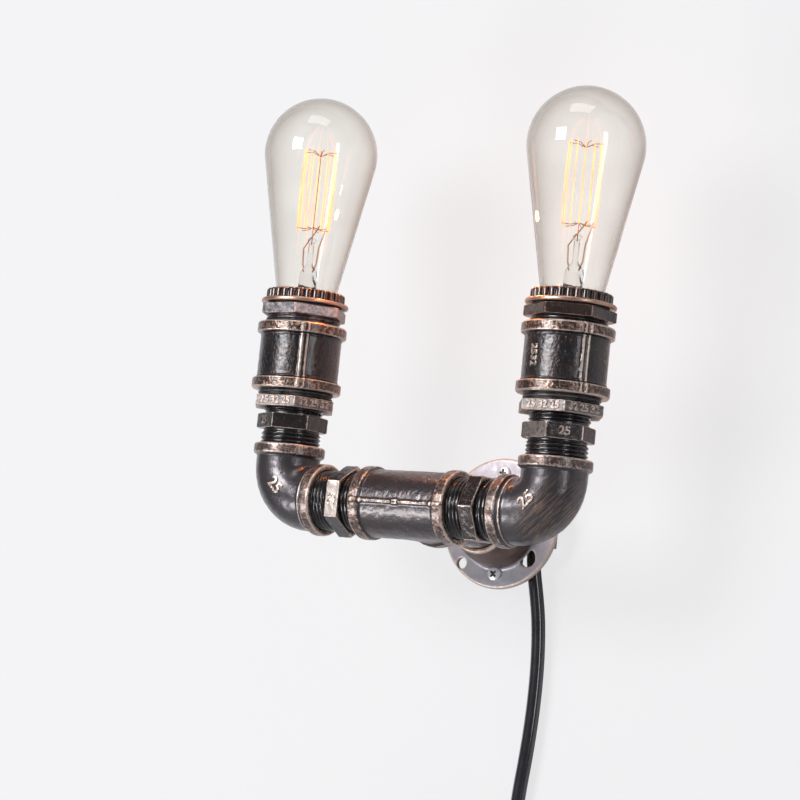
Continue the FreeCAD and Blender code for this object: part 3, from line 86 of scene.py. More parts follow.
def length(name, text, default, low=0.0, high=1.0):
    return FloatProperty(name=name, description=text, default=default, min=low, max=high,
                         subtype="DISTANCE", unit="LENGTH", precision=5)


def colour(name, text, default):
    return FloatVectorProperty(name=name, description=text, default=default, size=3, min=0.0, max=1.0,
                               subtype="COLOR")


def number(name, text, default, low, high):
    return IntProperty(name=name, description=text, default=default, min=low, max=high)


def direction(name, text, degrees):
    return FloatProperty(name=name, description=text, default=math.radians(degrees), subtype="ANGLE",
                         unit="ROTATION")


def power(name, text, default):
    return FloatProperty(name=name, description=text, default=default, min=0.0, unit="POWER")


class FittingSizes(PropertyGroup):
    """Where the fittings stand, their threads, lumps and flutes."""

    arm_offset: length("Arm offset", "Middle of the tee to the axis of each arm", 0.086)
    run_reach: length("Run reach", "Wall to the axis of the run", 0.1085)
    pipe_radius: length("Pipe thread", "Outside radius of the smaller thread", 0.01662)
    wide_radius: length("Bushing thread", "Outside radius of the larger thread", 0.02095)
    thread_depth: length("Thread depth", "Depth of both threads", 0.0009)
    thread_pitch: length("Thread pitch", "Crest to crest", 0.00231)
    pipe_bore: length("Bore", "Bore radius of the pipes", 0.0134)
    lump: length("Casting lumps", "Height of the lumps on the castings", 0.00012)
    flute_count: number("Flutes", "Flutes round each socket ring", 28, 3, 90)


class BulbSizes(PropertyGroup):
    """The tapered bulbs and what is in them."""

    radius: length("Bulb radius", "Widest part of the glass", 0.032)
    tall: length("Bulb length", "Contact to the top of the glass", 0.142)
    wall: length("Glass", "Thickness of the glass", 0.0008)
    cage: length("Cage radius", "Axis of the bulb to each strand", 0.009)
    strand: length("Strand", "Radius of a strand", 0.00024)
    strands: number("Strands", "Strands of the filament", 12, 2, 40)


class CordSizes(PropertyGroup):
    """The supply cord and the coil of its spare length."""

    radius: length("Cord radius", "Half the cord's thickness", 0.004)
    full: length("Cord length", "Whole length from the saddle to the plug", 1.611, 0.1, 5.0)
    plug_lead: length("Plug lead", "Straight cord from the coil to the plug", 0.034)
    coil_radius: length("Coil radius", "Middle of the coil's turns", 0.044)
    coil_step: length("Coil step", "Turn to turn", 0.0087)


class Finishes(PropertyGroup):
    """Colours of the finishes."""

    lacquer: colour("Lacquer", "Near-black lacquer on the castings", (0.018, 0.017, 0.020))
    graphite: colour("Graphite", "Greyer lacquer on the elbows, tee and flange", (0.060, 0.055, 0.062))
    brown: colour("Brown", "Brown film rubbed over the lacquer", (0.050, 0.030, 0.024))
    copper: colour("Copper", "Dry-brushed copper on edges and beads", (0.50, 0.31, 0.23))
    pale: colour("Worn metal", "Pale metal of the most worn edges", (0.61, 0.49, 0.42))
    casting: colour("Grey casting", "Hexagons of the bushings", (0.27, 0.255, 0.27))
    zinc: colour("Zinc", "Screws and strip", (0.78, 0.79, 0.82))
    brass: colour("Brass", "Contacts, cap and plug blades", (0.78, 0.56, 0.27))
    cord: colour("Cord", "Cord and plug", (0.010, 0.010, 0.012))
    glass: colour("Glass tint", "Tint of the bulbs", (1.0, 0.985, 0.955))
    smoke: colour("Glass rim", "Tint of the bulbs seen edge on", (0.22, 0.145, 0.085))
    glow: colour("Glow", "Lit filament", (1.0, 0.27, 0.05))


class StageSettings(PropertyGroup):
    """Camera, lamps and backdrop."""

    yaw: direction("Yaw", "Camera turn to the right of straight at the wall", -33.13)
    pitch: direction("Pitch", "Camera tilt above level", 5.96)
    roll: direction("Roll", "Camera roll", 5.89)
    key: power("Key lamp", "Power of the front lamp", 21.0)
    rim: power("Side lamp", "Power of the side lamp and the top lamp", 5.0)
    warm: power("Bulb glow", "Power of the light beside each bulb", 0.17)
    wall: colour("Wall", "Pale backdrop and floor", (0.52, 0.52, 0.53))


# ---------------------------------------------------------------- node helpers
def set_inputs(node, inputs):
    """Sets each named input of a node, or links it where the value is another node's output."""
    for key, value in inputs.items():
        if isinstance(value, bpy.types.NodeSocket):
            node.id_data.links.new(value, node.inputs[key])
        else:
            node.inputs[key].default_value = value
    return node


def tuned(thing, **values):
    """A thing whose own properties are set by their names."""
    for key, value in values.items():
        setattr(thing, key, value)
    return thing


def add(tree, kind, settings=None, inputs=None):
    """A node with its settings made and its inputs set or linked."""
    return set_inputs(tuned(tree.nodes.new(kind), **(settings or {})), inputs or {})


def calc(tree, operation, a, b, clamp=False):
    return add(tree, "ShaderNodeMath", {"operation": operation, "use_clamp": clamp}, {0: a, 1: b}).outputs[0]


def times(tree, a, b):
    return calc(tree, "MULTIPLY", a, b)


def plus(tree, a, b, clamp=False):
    return calc(tree, "ADD", a, b, clamp)


def larger(tree, a, b):
    return calc(tree, "MAXIMUM", a, b)


def noise_over(tree, point, scale, detail, rough=0.5):
    """Soft noise over a point, from 0 to 1."""
    inputs = {"Vector": point, "Scale": scale, "Detail": detail, "Roughness": rough}
    return add(tree, "ShaderNodeTexNoise", None, inputs).outputs[0]


def blend_colour(tree, share, a, b):
    """Colour a where share is 0 and b where it is 1."""
    return add(tree, "ShaderNodeMix", {"data_type": "RGBA"}, {0: share, 6: a, 7: b}).outputs[2]


def soft_step(tree, value, low, high):
    settings = {"interpolation_type": "SMOOTHSTEP"}
    return add(tree, "ShaderNodeMapRange", settings, {0: value, 1: low, 2: high}).outputs[0]


def new_group(name, inputs, outputs):
    """A shader group with a vector input, float inputs with their defaults, and float outputs."""
    group = bpy.data.node_groups.new(name, "ShaderNodeTree")
    new_socket = group.interface.new_socket
    new_socket("Vector", in_out="INPUT", socket_type="NodeSocketVector")
    for label, default in inputs.items():
        new_socket(label, in_out="INPUT", socket_type="NodeSocketFloat").default_value = default
    for label in outputs:
        new_socket(label, in_out="OUTPUT", socket_type="NodeSocketFloat")
    return group, group.nodes.new("NodeGroupInput").outputs, group.nodes.new("NodeGroupOutput")


def wear_group():
    """Where lacquer is rubbed through: broken lines on edges, and a fine grain where a rag has passed."""
    group, given, out = new_group("rubbed_through", {"Edge": 0.0, "Rub": 0.0}, ("Edges", "Patches"))
    broad = noise_over(group, given["Vector"], 480.0, 3.0, 0.6)
    fine = noise_over(group, given["Vector"], 2300.0, 2.0, 0.6)
    grain = plus(group, times(group, broad, 0.5), times(group, fine, 0.5))
    centred = times(group, calc(group, "SUBTRACT", grain, 0.5), 2.4)
    set_inputs(out, {"Edges": soft_step(group, plus(group, given["Edge"], centred), 0.42, 0.8),
                     "Patches": soft_step(group, plus(group, given["Rub"], centred), 0.58, 0.98)})
    return group


def skin_group():
    """Lumps and pits of a lacquered casting, as a height, and its cloudy tone."""
    group, given, out = new_group("casting_skin", {"Scale": 1.0, "Pits": 0.3}, ("Height", "Cloud"))
    near, far = times(group, given["Scale"], 1300.0), times(group, given["Scale"], 170.0)
    lumps = noise_over(group, given["Vector"], near, 3.0, 0.55)
    cells = add(group, "ShaderNodeTexVoronoi", {"feature": "SMOOTH_F1"},
                {"Vector": given["Vector"], "Scale": times(group, near, 0.9)})
    pits = times(group, soft_step(group, cells.outputs[0], 0.0, 0.35), given["Pits"])
    cloud = noise_over(group, given["Vector"], far, 4.0, 0.6)
    set_inputs(out, {"Height": plus(group, lumps, pits), "Cloud": soft_step(group, cloud, 0.35, 0.65)})
    return group


def streak_group():
    """Long brush streaks across a mapped direction."""
    group, given, out = new_group("brush_streaks", {"Share": 0.5}, ("Streak",))
    line = noise_over(group, given["Vector"], 1.0, 5.0, 0.7)
    low = calc(group, "SUBTRACT", 0.78, times(group, given["Share"], 0.4))
    set_inputs(out, {"Streak": soft_step(group, line, low, plus(group, low, 0.12))})
    return group


GROUPS = {}


def shared(tree, maker, inputs):
    """A shared effect, built once and placed in a material with its own values."""
    if maker not in GROUPS:
        GROUPS[maker] = maker()
    return add(tree, "ShaderNodeGroup", {"node_tree": GROUPS[maker]}, inputs).outputs


def mapped(tree, point, turn, scale):
    """A point in a turned frame whose steps are as long as scale says."""
    return add(tree, "ShaderNodeMapping", {"vector_type": "TEXTURE"},
               {"Vector": point, "Rotation": turn, "Scale": scale}).outputs[0]


def new_material(name, **constants):
    """A material with a Principled shader whose constants are set on its sockets."""
    material = bpy.data.materials.new(name)
    material.use_nodes = True
    shader = material.node_tree.nodes["Principled BSDF"]
    set_inputs(shader, {key.replace("_", " "): value for key, value in constants.items()})
    return material, material.node_tree, shader


def rgba(value):
    return (*value, 1.0)


def bump(tree, height, distance, strength=1.0):
    inputs = {"Height": height, "Distance": distance, "Strength": strength}
    return add(tree, "ShaderNodeBump", None, inputs).outputs[0]


def object_point(tree):
    return add(tree, "ShaderNodeTexCoord").outputs["Object"]


def attribute(tree, name):
    return add(tree, "ShaderNodeAttribute", {"attribute_name": name}).outputs["Fac"]


# ---------------------------------------------------------------- materials
def worn_casting(name, base, film, edge_tone, patch_tone, *, rough, pits, height, skin=1.0, metal=0.6,
                 coat=0.5, streaks=None):
    """Lacquered casting: base, a brown film where it is rubbed, dry-brushed grain and bright worn edges."""
    material, tree, shader = new_material(name, Specular_IOR_Level=0.5, Coat_Roughness=0.2, Coat_IOR=1.5)
    point, rub = object_point(tree), attribute(tree, "rub")
    surface = shared(tree, skin_group, {"Vector": point, "Scale": skin, "Pits": pits})
    wear = shared(tree, wear_group, {"Vector": point, "Edge": attribute(tree, "edge"), "Rub": rub})
    share = plus(tree, times(tree, surface["Cloud"], 0.45), times(tree, rub, 0.55), clamp=True)
    tone = blend_colour(tree, share, rgba(base), rgba(film))
    bare = times(tree, wear["Patches"], 0.9)
    tone = blend_colour(tree, bare, tone, rgba(patch_tone))
    if streaks:
        turn, centre, reach, shade = streaks
        strokes = mapped(tree, point, turn, STROKE)
        mark = shared(tree, streak_group, {"Vector": strokes, "Share": 0.74})[0]
        away = add(tree, "ShaderNodeVectorMath", {"operation": "DISTANCE"}, {0: point, 1: centre})
        far = soft_step(tree, away.outputs["Value"], reach * 0.5, reach)
        mark = times(tree, mark, calc(tree, "SUBTRACT", 1.0, far))
        tone = blend_colour(tree, mark, tone, rgba(shade))
        bare = larger(tree, bare, mark)
    bare = larger(tree, bare, wear["Edges"])
    cloudy = times(tree, surface["Cloud"], 0.08)
    set_inputs(shader, {
        "Base Color": blend_colour(tree, wear["Edges"], tone, rgba(edge_tone)),
        "Metallic": plus(tree, times(tree, bare, 0.92 - metal), metal),
        "Roughness": plus(tree, plus(tree, cloudy, times(tree, bare, 0.12)), rough),
        "Coat Weight": times(tree, calc(tree, "SUBTRACT", 1.0, bare), coat),
        "Normal": bump(tree, surface["Height"], height),
    })
    return material


def plain_metal(name, tone, rough, scratch=0.05, metal=1.0, paint_hollow_shade=False):
    """Bare or plated metal: fine scratches, a little tarnish, and painted shade in the recesses that the
    hollow attribute marks.
    """
    material, tree, shader = new_material(name, Metallic=metal)
    point = object_point(tree)
    stretch = add(tree, "ShaderNodeMapping", None, {"Vector": point, "Scale": (900.0, 900.0, 60.0)})
    lines = noise_over(tree, stretch.outputs[0], 1.0, 3.0)
    stain = soft_step(tree, noise_over(tree, point, 160.0, 5.0), 0.42, 0.72)
    worn = blend_colour(tree, times(tree, stain, 0.6), rgba(tone), rgba([channel * 0.55 for channel in tone]))
    # painted shade: marked recesses are darkened to stand in for the shade that falls in them
    if paint_hollow_shade:
        worn = blend_colour(tree, attribute(tree, "hollow"), worn, (0.10, 0.10, 0.10, 1.0))
    set_inputs(shader, {"Base Color": worn,
                        "Roughness": plus(tree, times(tree, lines, 0.2), rough - 0.1),
                        "Normal": bump(tree, lines, 0.00004, scratch * 10)})
    return material


def moulded(name, tone, rough, grain=700.0, depth=0.00004, coat=0.0):
    """Moulded plastic or rubber with a faint grain and cloudy gloss."""
    material, tree, shader = new_material(name, Coat_Roughness=0.12, Coat_Weight=coat)
    point = object_point(tree)
    cloud = noise_over(tree, point, 90.0, 3.0)
    light = [min(1.0, channel * 1.5 + 0.004) for channel in tone]
    set_inputs(shader, {"Base Color": blend_colour(tree, cloud, rgba(tone), rgba(light)),
                        "Roughness": plus(tree, times(tree, cloud, 0.16), rough - 0.08),
                        "Normal": bump(tree, noise_over(tree, point, grain, 3.0), depth)})
    return material


def bulb_glass(name, tint, rim_tint, rough):
    """Blown glass with slow waves, smokier where it is seen edge on."""
    material, tree, shader = new_material(name, Transmission_Weight=1.0, IOR=1.46, Roughness=rough)
    wave = noise_over(tree, object_point(tree), 45.0, 1.0)
    facing = add(tree, "ShaderNodeLayerWeight", None, {"Blend": 0.5}).outputs["Facing"]
    film = times(tree, soft_step(tree, wave, 0.3, 0.7), 0.04)
    share = plus(tree, calc(tree, "POWER", facing, 1.7), film, clamp=True)
    set_inputs(shader, {"Base Color": blend_colour(tree, share, rgba(tint), rgba(rim_tint)),
                        "Normal": bump(tree, wave, 0.0002, 0.35)})
    return material


def lit_wire(name, glow):
    """Glowing wire, a little cooler in places."""
    material, tree, shader = new_material(name, Roughness=0.5, Emission_Strength=3.2)
    beat = soft_step(tree, noise_over(tree, object_point(tree), 70.0, 1.0), 0.3, 0.6)
    cool = [channel * share for channel, share in zip(glow, (0.9, 0.7, 0.6))]
    tone = blend_colour(tree, beat, rgba(cool), rgba(glow))
    set_inputs(shader, {"Emission Color": tone, "Base Color": tone})
    return material


# ---------------------------------------------------------------- mesh helpers
def link_object(name, data):
    piece = bpy.data.objects.new(name, data)
    bpy.context.scene.collection.objects.link(piece)
    return piece


def mesh_from(name, points, faces):
    mesh = bpy.data.meshes.new(name)
    mesh.from_pydata([tuple(p) for p in points], [], faces)
    mesh.validate()
    return mesh


def vertex_vectors(mesh, name):
    flat = np.empty(len(mesh.vertices) * 3)
    mesh.vertices.foreach_get(name, flat)
    return flat.reshape(-1, 3)


def points_of(mesh):
    return vertex_vectors(mesh, "co")


def normals_of(mesh):
    return vertex_vectors(mesh, "normal")


def set_points(mesh, points):
    mesh.vertices.foreach_set("co", points.ravel())
    mesh.update()


def raise_by(mesh, points, lift):
    """Moves a form's points out along their normals; points and lift are in millimetres."""
    set_points(mesh, (points + normals_of(mesh) * lift[:, None]) * MM)


def mean_of_neighbours(mesh):
    """A function that averages any value per vertex over its neighbours."""
    size = len(mesh.vertices)
    pairs = np.empty(len(mesh.edges) * 2, dtype=np.int64)
    mesh.edges.foreach_get("vertices", pairs)
    a, b = pairs.reshape(-1, 2).T
    count = np.maximum(np.bincount(a, minlength=size) + np.bincount(b, minlength=size), 1)

    def average(values):
        total = np.stack([
            np.bincount(a, weights=c[b], minlength=size) + np.bincount(b, weights=c[a], minlength=size)
            for c in values.reshape(size, -1).T
        ], axis=1)
        return (total / count[:, None]).reshape(values.shape)

    return average


@contextmanager
def edited(mesh):
    """A mesh opened for operators, and written back when they are done."""
    form = bmesh.new()
    form.from_mesh(mesh)
    yield form
    form.to_mesh(mesh)
    form.free()


def weld(form, near=1e-7):
    bmesh.ops.remove_doubles(form, verts=form.verts, dist=near)


def turn_outwards(form):
    bmesh.ops.recalc_face_normals(form, faces=form.faces)


def store(mesh, name, values):
    field = mesh.attributes.get(name) or mesh.attributes.new(name, "FLOAT", "POINT")
    field.data.foreach_set("value", np.asarray(values, dtype=np.float32))


def mark_edges(mesh, rub, reach, full):
    """Stores how far each point stands out of its surroundings, and where a rag has rubbed.

    The surroundings reach so many edges far, and an edge that stands out by full, in metres, counts as 1.
    """
    average = mean_of_neighbours(mesh)
    points = points_of(mesh)
    soft = points
    for _ in range(reach):
        soft = average(soft)
    out = np.einsum("ij,ij->i", points - soft, normals_of(mesh)) / full
    out = 0.5 * out + 0.5 * average(out)
    store(mesh, "edge", np.clip(out, 0.0, 1.0))
    store(mesh, "rub", rub)


def lumpy(mesh, amount, size, seed):
    """Moves points along their normals by soft lumps of a size in metres."""
    points = points_of(mesh)
    shift = Vector((seed * 1.7, seed * 0.9, seed * 2.3))
    lumps = np.array([noise.fractal(Vector(p) / size + shift, 0.8, 2.1, 3) for p in points])
    set_points(mesh, points + normals_of(mesh) * (lumps * amount)[:, None])


def attach(piece, body, slot, *nodes):
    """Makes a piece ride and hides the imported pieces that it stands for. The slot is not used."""
    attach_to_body(piece, body)
    if nodes:
        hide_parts(*nodes)


def dress(piece, material, angle, body, slot, *nodes):
    """Gives a piece its finish, sharp edges past an angle in degrees, and its body. The slot is handed on but
    not used.
    """
    mesh = piece.data
    mesh.materials.clear()
    mesh.materials.append(material)
    mesh.shade_smooth()
    mesh.set_sharp_from_angle(angle=math.radians(angle))
    attach(piece, body, slot, *nodes)


def baked(piece):
    """Turns the piece with its modifiers into a plain mesh."""
    graph = bpy.context.evaluated_depsgraph_get()
    data = bpy.data.meshes.new_from_object(piece.evaluated_get(graph))
    piece.modifiers.clear()
    piece.data = data
    return piece


def new_curve(name, kind, roundness, **values):
    """A round-bevelled curve or text."""
    return tuned(bpy.data.curves.new(name, kind), bevel_resolution=roundness, **values)


def add_line(curve, kind, spots):
    """A line through points in metres."""
    line = curve.splines.new(kind)
    line.points.add(len(spots) - 1)
    for point, spot in zip(line.points, spots):
        point.co = (*spot, 1.0)
    return line


def surface_of(curve):
    """A curve's or a text's surface as a mesh."""
    held = link_object("outline", curve)
    bpy.context.view_layer.update()
    mesh = bpy.data.meshes.new_from_object(held.evaluated_get(bpy.context.evaluated_depsgraph_get()))
    bpy.data.objects.remove(held)
    return mesh


def cast_copy(name, node):
    """A rounded-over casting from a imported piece's own form."""
    mesh = frame["nodes"][node].data.copy()
    mesh.name = name
    with edited(mesh) as form:
        weld(form, 1e-6)
    piece = link_object(name, mesh)
    remesh = piece.modifiers.new("even_skin", "REMESH")
    remesh.mode = "VOXEL"
    remesh.voxel_size = CAST_VOXEL
    baked(piece)
    average = mean_of_neighbours(piece.data)
    points = points_of(piece.data)
    for share in CAST_SMOOTHING:
        points = points + share * (average(points) - points)
    set_points(piece.data, points)
    return piece


def grid_faces(rows, columns, closed=True):
    """Quads over a grid whose columns close round, and whose rows do too unless closed is off."""
    i = np.arange(rows if closed else rows - 1)[:, None]
    j = np.arange(columns)[None, :]
    below, above = i * columns, ((i + 1) % rows) * columns
    right = (j + 1) % columns
    quads = np.stack([below + j, below + right, above + right, above + j], axis=-1)
    return quads.reshape(-1, 4).tolist()


def field_body(name, heights, radius_of, bore, columns, start=0.0):
    """A hollow round body in millimetres: its outside follows angle and height, and its bore is even."""
    angles = start + np.arange(columns) * 2 * math.pi / columns
    low, high = heights[0], heights[-1]
    around, up = np.meshgrid(angles, np.array(heights, dtype=float))
    inner_around, inner_up = np.meshgrid(angles, np.array([high, high - 0.6, low + 0.6, low]))
    rows = np.concatenate([
        np.stack([radius * np.cos(turn), radius * np.sin(turn), height], axis=-1)
        for radius, turn, height in ((radius_of(around, up), around, up), (bore, inner_around, inner_up))])
    return mesh_from(name, rows.reshape(-1, 3) * MM, grid_faces(len(rows), columns))


def steps(*marks):
    """Heights from one mark to the next, given as (to, spacing) after the first."""
    values = [marks[0]]
    for target, spacing in marks[1:]:
        count = max(1, int(round(abs(target - values[-1]) / spacing)))
        values += list(np.linspace(values[-1], target, count + 1)[1:])
    return values


def ramp(value, low, high):
    t = np.clip((value - low) / (high - low), 0.0, 1.0)
    return t * t * (3 - 2 * t)


def band(value, low, high, soft):
    """1 between low and high, with soft ends."""
    return ramp(value, low - soft, low + soft) * (1 - ramp(value, high - soft, high + soft))


def helix(sizes, radius, around, up, low, high):
    """Radius of a threaded stretch: a rounded ridge that climbs one pitch a turn and dies out at its ends."""
    crest, depth, pitch = radius / MM, sizes.thread_depth / MM, sizes.thread_pitch / MM
    phase = (up / pitch - around / (2 * math.pi)) % 1.0
    ridge = np.clip(1.35 - 2.7 * np.abs(phase - 0.5), 0.0, 1.0)
    ridge = ridge * ridge * (3 - 2 * ridge)
    ends = ramp(up, low - 0.2, low + 0.7) * (1 - ramp(up, high - 0.7, high + 0.2))
    return crest - depth + depth * ridge * ends


def hexagon_radius(radius, around, up, corner, turn, low, high, chamfer=0.9):
    """A round radius, and between two heights a hexagon's, with corners cut back towards its two faces."""
    apothem = corner * math.cos(math.pi / 6)
    off = (around - turn) % (math.pi / 3) - math.pi / 6
    flat = np.minimum(apothem / np.cos(off), corner * 0.995)
    depth = np.clip(np.minimum(up - low, high - up), 0, None)
    hexed = np.minimum(flat, corner - chamfer + depth * 1.6) - 0.25 * (1 - ramp(depth, 0.0, 0.4))
    return np.where((up > low - 0.01) & (up < high + 0.01), hexed, radius)


def hexagon_edges(points, corner, turn, low, high):
    """1 on the outer edges of a hexagon's flats and 0 away from them; points are in millimetres."""
    fine = 0.42
    around = np.arctan2(points[:, 1], points[:, 0])
    apothem = corner * math.cos(math.pi / 6)
    off = (around - turn) % (math.pi / 3) - math.pi / 6
    aside = apothem * (math.tan(math.pi / 6) - np.abs(np.tan(off)))
    depth = np.minimum(points[:, 2] - low, high - points[:, 2])
    near = np.maximum(np.exp(-(aside / fine) ** 2), np.exp(-(depth / fine) ** 2))
    outside = np.hypot(points[:, 0], points[:, 1]) > apothem - 1.2
    return near * outside * (depth > -0.01)


def place_mesh(mesh, at, turn=None):
    """Moves a finished form to its place; at is in millimetres."""
    mesh.transform(Matrix.Translation(Vector(at) * MM) @ (turn or Matrix.Identity(4)))


class Stack:
    """Heights of one arm's pieces over the run's axis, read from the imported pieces, in millimetres."""

    def __init__(self, word, side, sizes):
        self.word = word
        self.side = side
        self.body = word + "_arm"
        self.at = (side * sizes.arm_offset / MM, -sizes.run_reach / MM, 0.0)

    def span(self, name):
        low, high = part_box("%s_%s" % (self.word, name))
        return low.z / MM, high.z / MM


# turns of the hexagons and the ribs as seen in the photograph, in degrees
TURNS = {
    "left": {"riser": 29.8, "lower": 4.8, "upper": 53.9, "rib": -50.3},
    "right": {"riser": 39.6, "lower": 3.6, "upper": 27.0, "rib": -35.0},
}
# hexagons, bores, clearance and flange screws, in millimetres
HEX_HIGH = 8.4
HEX_CORNER = 20.0
BUSH_CORNER = 25.0
BUSH_HIGH = 5.85
HOLDER_BORE = 18.66
THREAD_GAP = 0.06
SCREW = {"head": 4.1, "tall": 2.5, "shank": (2.0, 8.2), "deep": 1.5, "half": 0.62}
# share of a screw head's radius from which its rim is rounded
ROUND_FROM = 0.86
# knobs on the tee's seam: where along the run, and how wide, in millimetres
SEAM_KNOBS = ((-27.2, 1.2), (-22.6, 1.0), (22.8, 1.2))
# how castings are rounded over: grid in metres, then the share of each smoothing step
CAST_VOXEL = 0.0005
CAST_SMOOTHING = (0.6, -0.45) * 3
# how much the front of each riser's hexagon is rubbed, which is partly real wear and partly a painted
# highlight on the flat that faces the front
RISER_FRONT_WEAR_AND_SHEEN = {"left": 0.4, "right": 0.95}
# sizes of a brush stroke, the bow of a strand, the camera's place and what the lamps aim at, in metres
STROKE = (0.013, 0.009, 0.0006)
STRAND_BOW = (0.0011, 0.0, 0.0)
CAMERA_AT = (0.79354, -1.34838, -0.09695)
LIT_SPOT = (0.0, -0.08, 0.08)


def settings(context):
    return context.scene.pipe_light


# ---------------------------------------------------------------- operators
class PIPE_OT_stage(Operator):
    """Make the wall, the floor, the lamps and the camera"""

    bl_idname = "pipe_light.stage"
    bl_label = "Stage"

    def execute(self, context):
        stage = settings(context).stage
        scene = context.scene
        scene.view_settings.view_transform = "Standard"
        self.backdrop(stage)
        self.world(scene)
        self.camera(scene, stage)
        self.lamps(settings(context))
        return {"FINISHED"}

    def backdrop(self, stage):
        """Pale wall behind the light and floor far below; both are clear when seen from behind."""
        material, tree, shader = new_material("pale_backdrop", Base_Color=rgba(stage.wall), Roughness=0.9)
        out = tree.nodes["Material Output"]
        white = add(tree, "ShaderNodeEmission", None, {"Color": (0.93, 0.93, 0.94, 1), "Strength": 1.0})
        seen = self.seen_straight(tree)
        pale = add(tree, "ShaderNodeMixShader", None,
                   {0: times(tree, seen, 0.8), 1: shader.outputs[0], 2: white.outputs[0]})
        clear = add(tree, "ShaderNodeBsdfTransparent")
        behind = add(tree, "ShaderNodeNewGeometry").outputs["Backfacing"]
        both = add(tree, "ShaderNodeMixShader", None, {0: behind, 1: pale.outputs[0], 2: clear.outputs[0]})
        set_inputs(out, {"Surface": both.outputs[0]})
        half, drop, front, back, top = 1.6, -0.75, -2.4, 0.0006, 1.6
        foot = [(-half, back, drop), (half, back, drop)]
        for name, corners in (("wall_plane", [*foot, (half, back, top), (-half, back, top)]),
                              ("floor_plane", [(-half, front, drop), (half, front, drop), *foot[::-1]])):
            piece = link_object(name, mesh_from(name, corners, [(0, 1, 2, 3)]))
            piece.data.materials.append(material)

    def seen_straight(self, tree):
        """1 where the camera sees a surface, straight or through glass."""
        path = add(tree, "ShaderNodeLightPath").outputs
        return larger(tree, path["Is Camera Ray"], path["Is Transmission Ray"])

    def world(self, scene):
        world = bpy.data.worlds.new("pale_room")
        world.use_nodes = True
        scene.world = world
        tree = world.node_tree
        level = plus(tree, times(tree, self.seen_straight(tree), 0.82), 0.13)
        set_inputs(tree.nodes["Background"], {"Color": (0.92, 0.94, 1.0, 1.0), "Strength": level})

    def camera(self, scene, stage):
        """The camera stands low on the right and looks up a little, as in the photograph."""
        camera = link_object("camera", tuned(bpy.data.cameras.new("camera"), sensor_width=36.0, lens=121.92,
                                             clip_start=0.05, clip_end=20.0))
        yaw, pitch, roll = -stage.yaw, stage.pitch, stage.roll
        ahead = Vector((-math.sin(yaw) * math.cos(pitch), math.cos(yaw) * math.cos(pitch), math.sin(pitch)))
        level = Vector((math.cos(yaw), math.sin(yaw), 0.0))
        up = level.cross(ahead)
        right = level * math.cos(roll) + up * math.sin(roll)
        top = up * math.cos(roll) - level * math.sin(roll)
        turn = Matrix((right, top, -ahead)).transposed().to_4x4()
        camera.matrix_world = Matrix.Translation(CAMERA_AT) @ turn
        scene.camera = camera

    def lamps(self, light):
        """Soft lamps in front, low on the left, at the side and above, and the bulbs' own warm light."""
        plan = (
            ("front_lamp", (-0.45, -1.45, 0.45), (0.55, 0.55), light.stage.key, (0.98, 0.98, 1.0)),
            ("low_lamp", (-0.75, -1.1, -0.6), (0.4, 0.4), light.stage.key * 0.45, (0.97, 0.98, 1.0)),
            ("side_lamp", (1.45, -0.75, 0.2), (0.25, 1.0), light.stage.rim, (0.95, 0.97, 1.0)),
            ("top_lamp", (0.1, -0.75, 1.5), (0.9, 0.5), light.stage.rim, (1.0, 1.0, 1.0)),
        )
        for name, spot, size, energy, tone in plan:
            held = self.lamp(name, "AREA", spot, energy, tone, shape="RECTANGLE", size=size[0],
                             size_y=size[1])
            held.rotation_mode = "QUATERNION"
            held.rotation_quaternion = (Vector(LIT_SPOT) - Vector(spot)).to_track_quat("-Z", "Y")
        for word, side in SIDES:
            # just outside the glass, towards the middle, so that it lights the fittings
            low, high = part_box(word + "_filament")
            self.lamp(word + "_bulb_light", "POINT", (low + high) / 2 + Vector((-0.045 * side, -0.01, -0.02)),
                      light.stage.warm, light.finishes.glow, shadow_soft_size=0.003)

    def lamp(self, name, kind, spot, energy, tone, **values):
        """A lamp that can't be seen itself, straight or through glass."""
        lamp = tuned(bpy.data.lights.new(name, kind), energy=energy, color=tone, **values)
        return tuned(link_object(name, lamp), location=spot, visible_camera=False, visible_transmission=False)


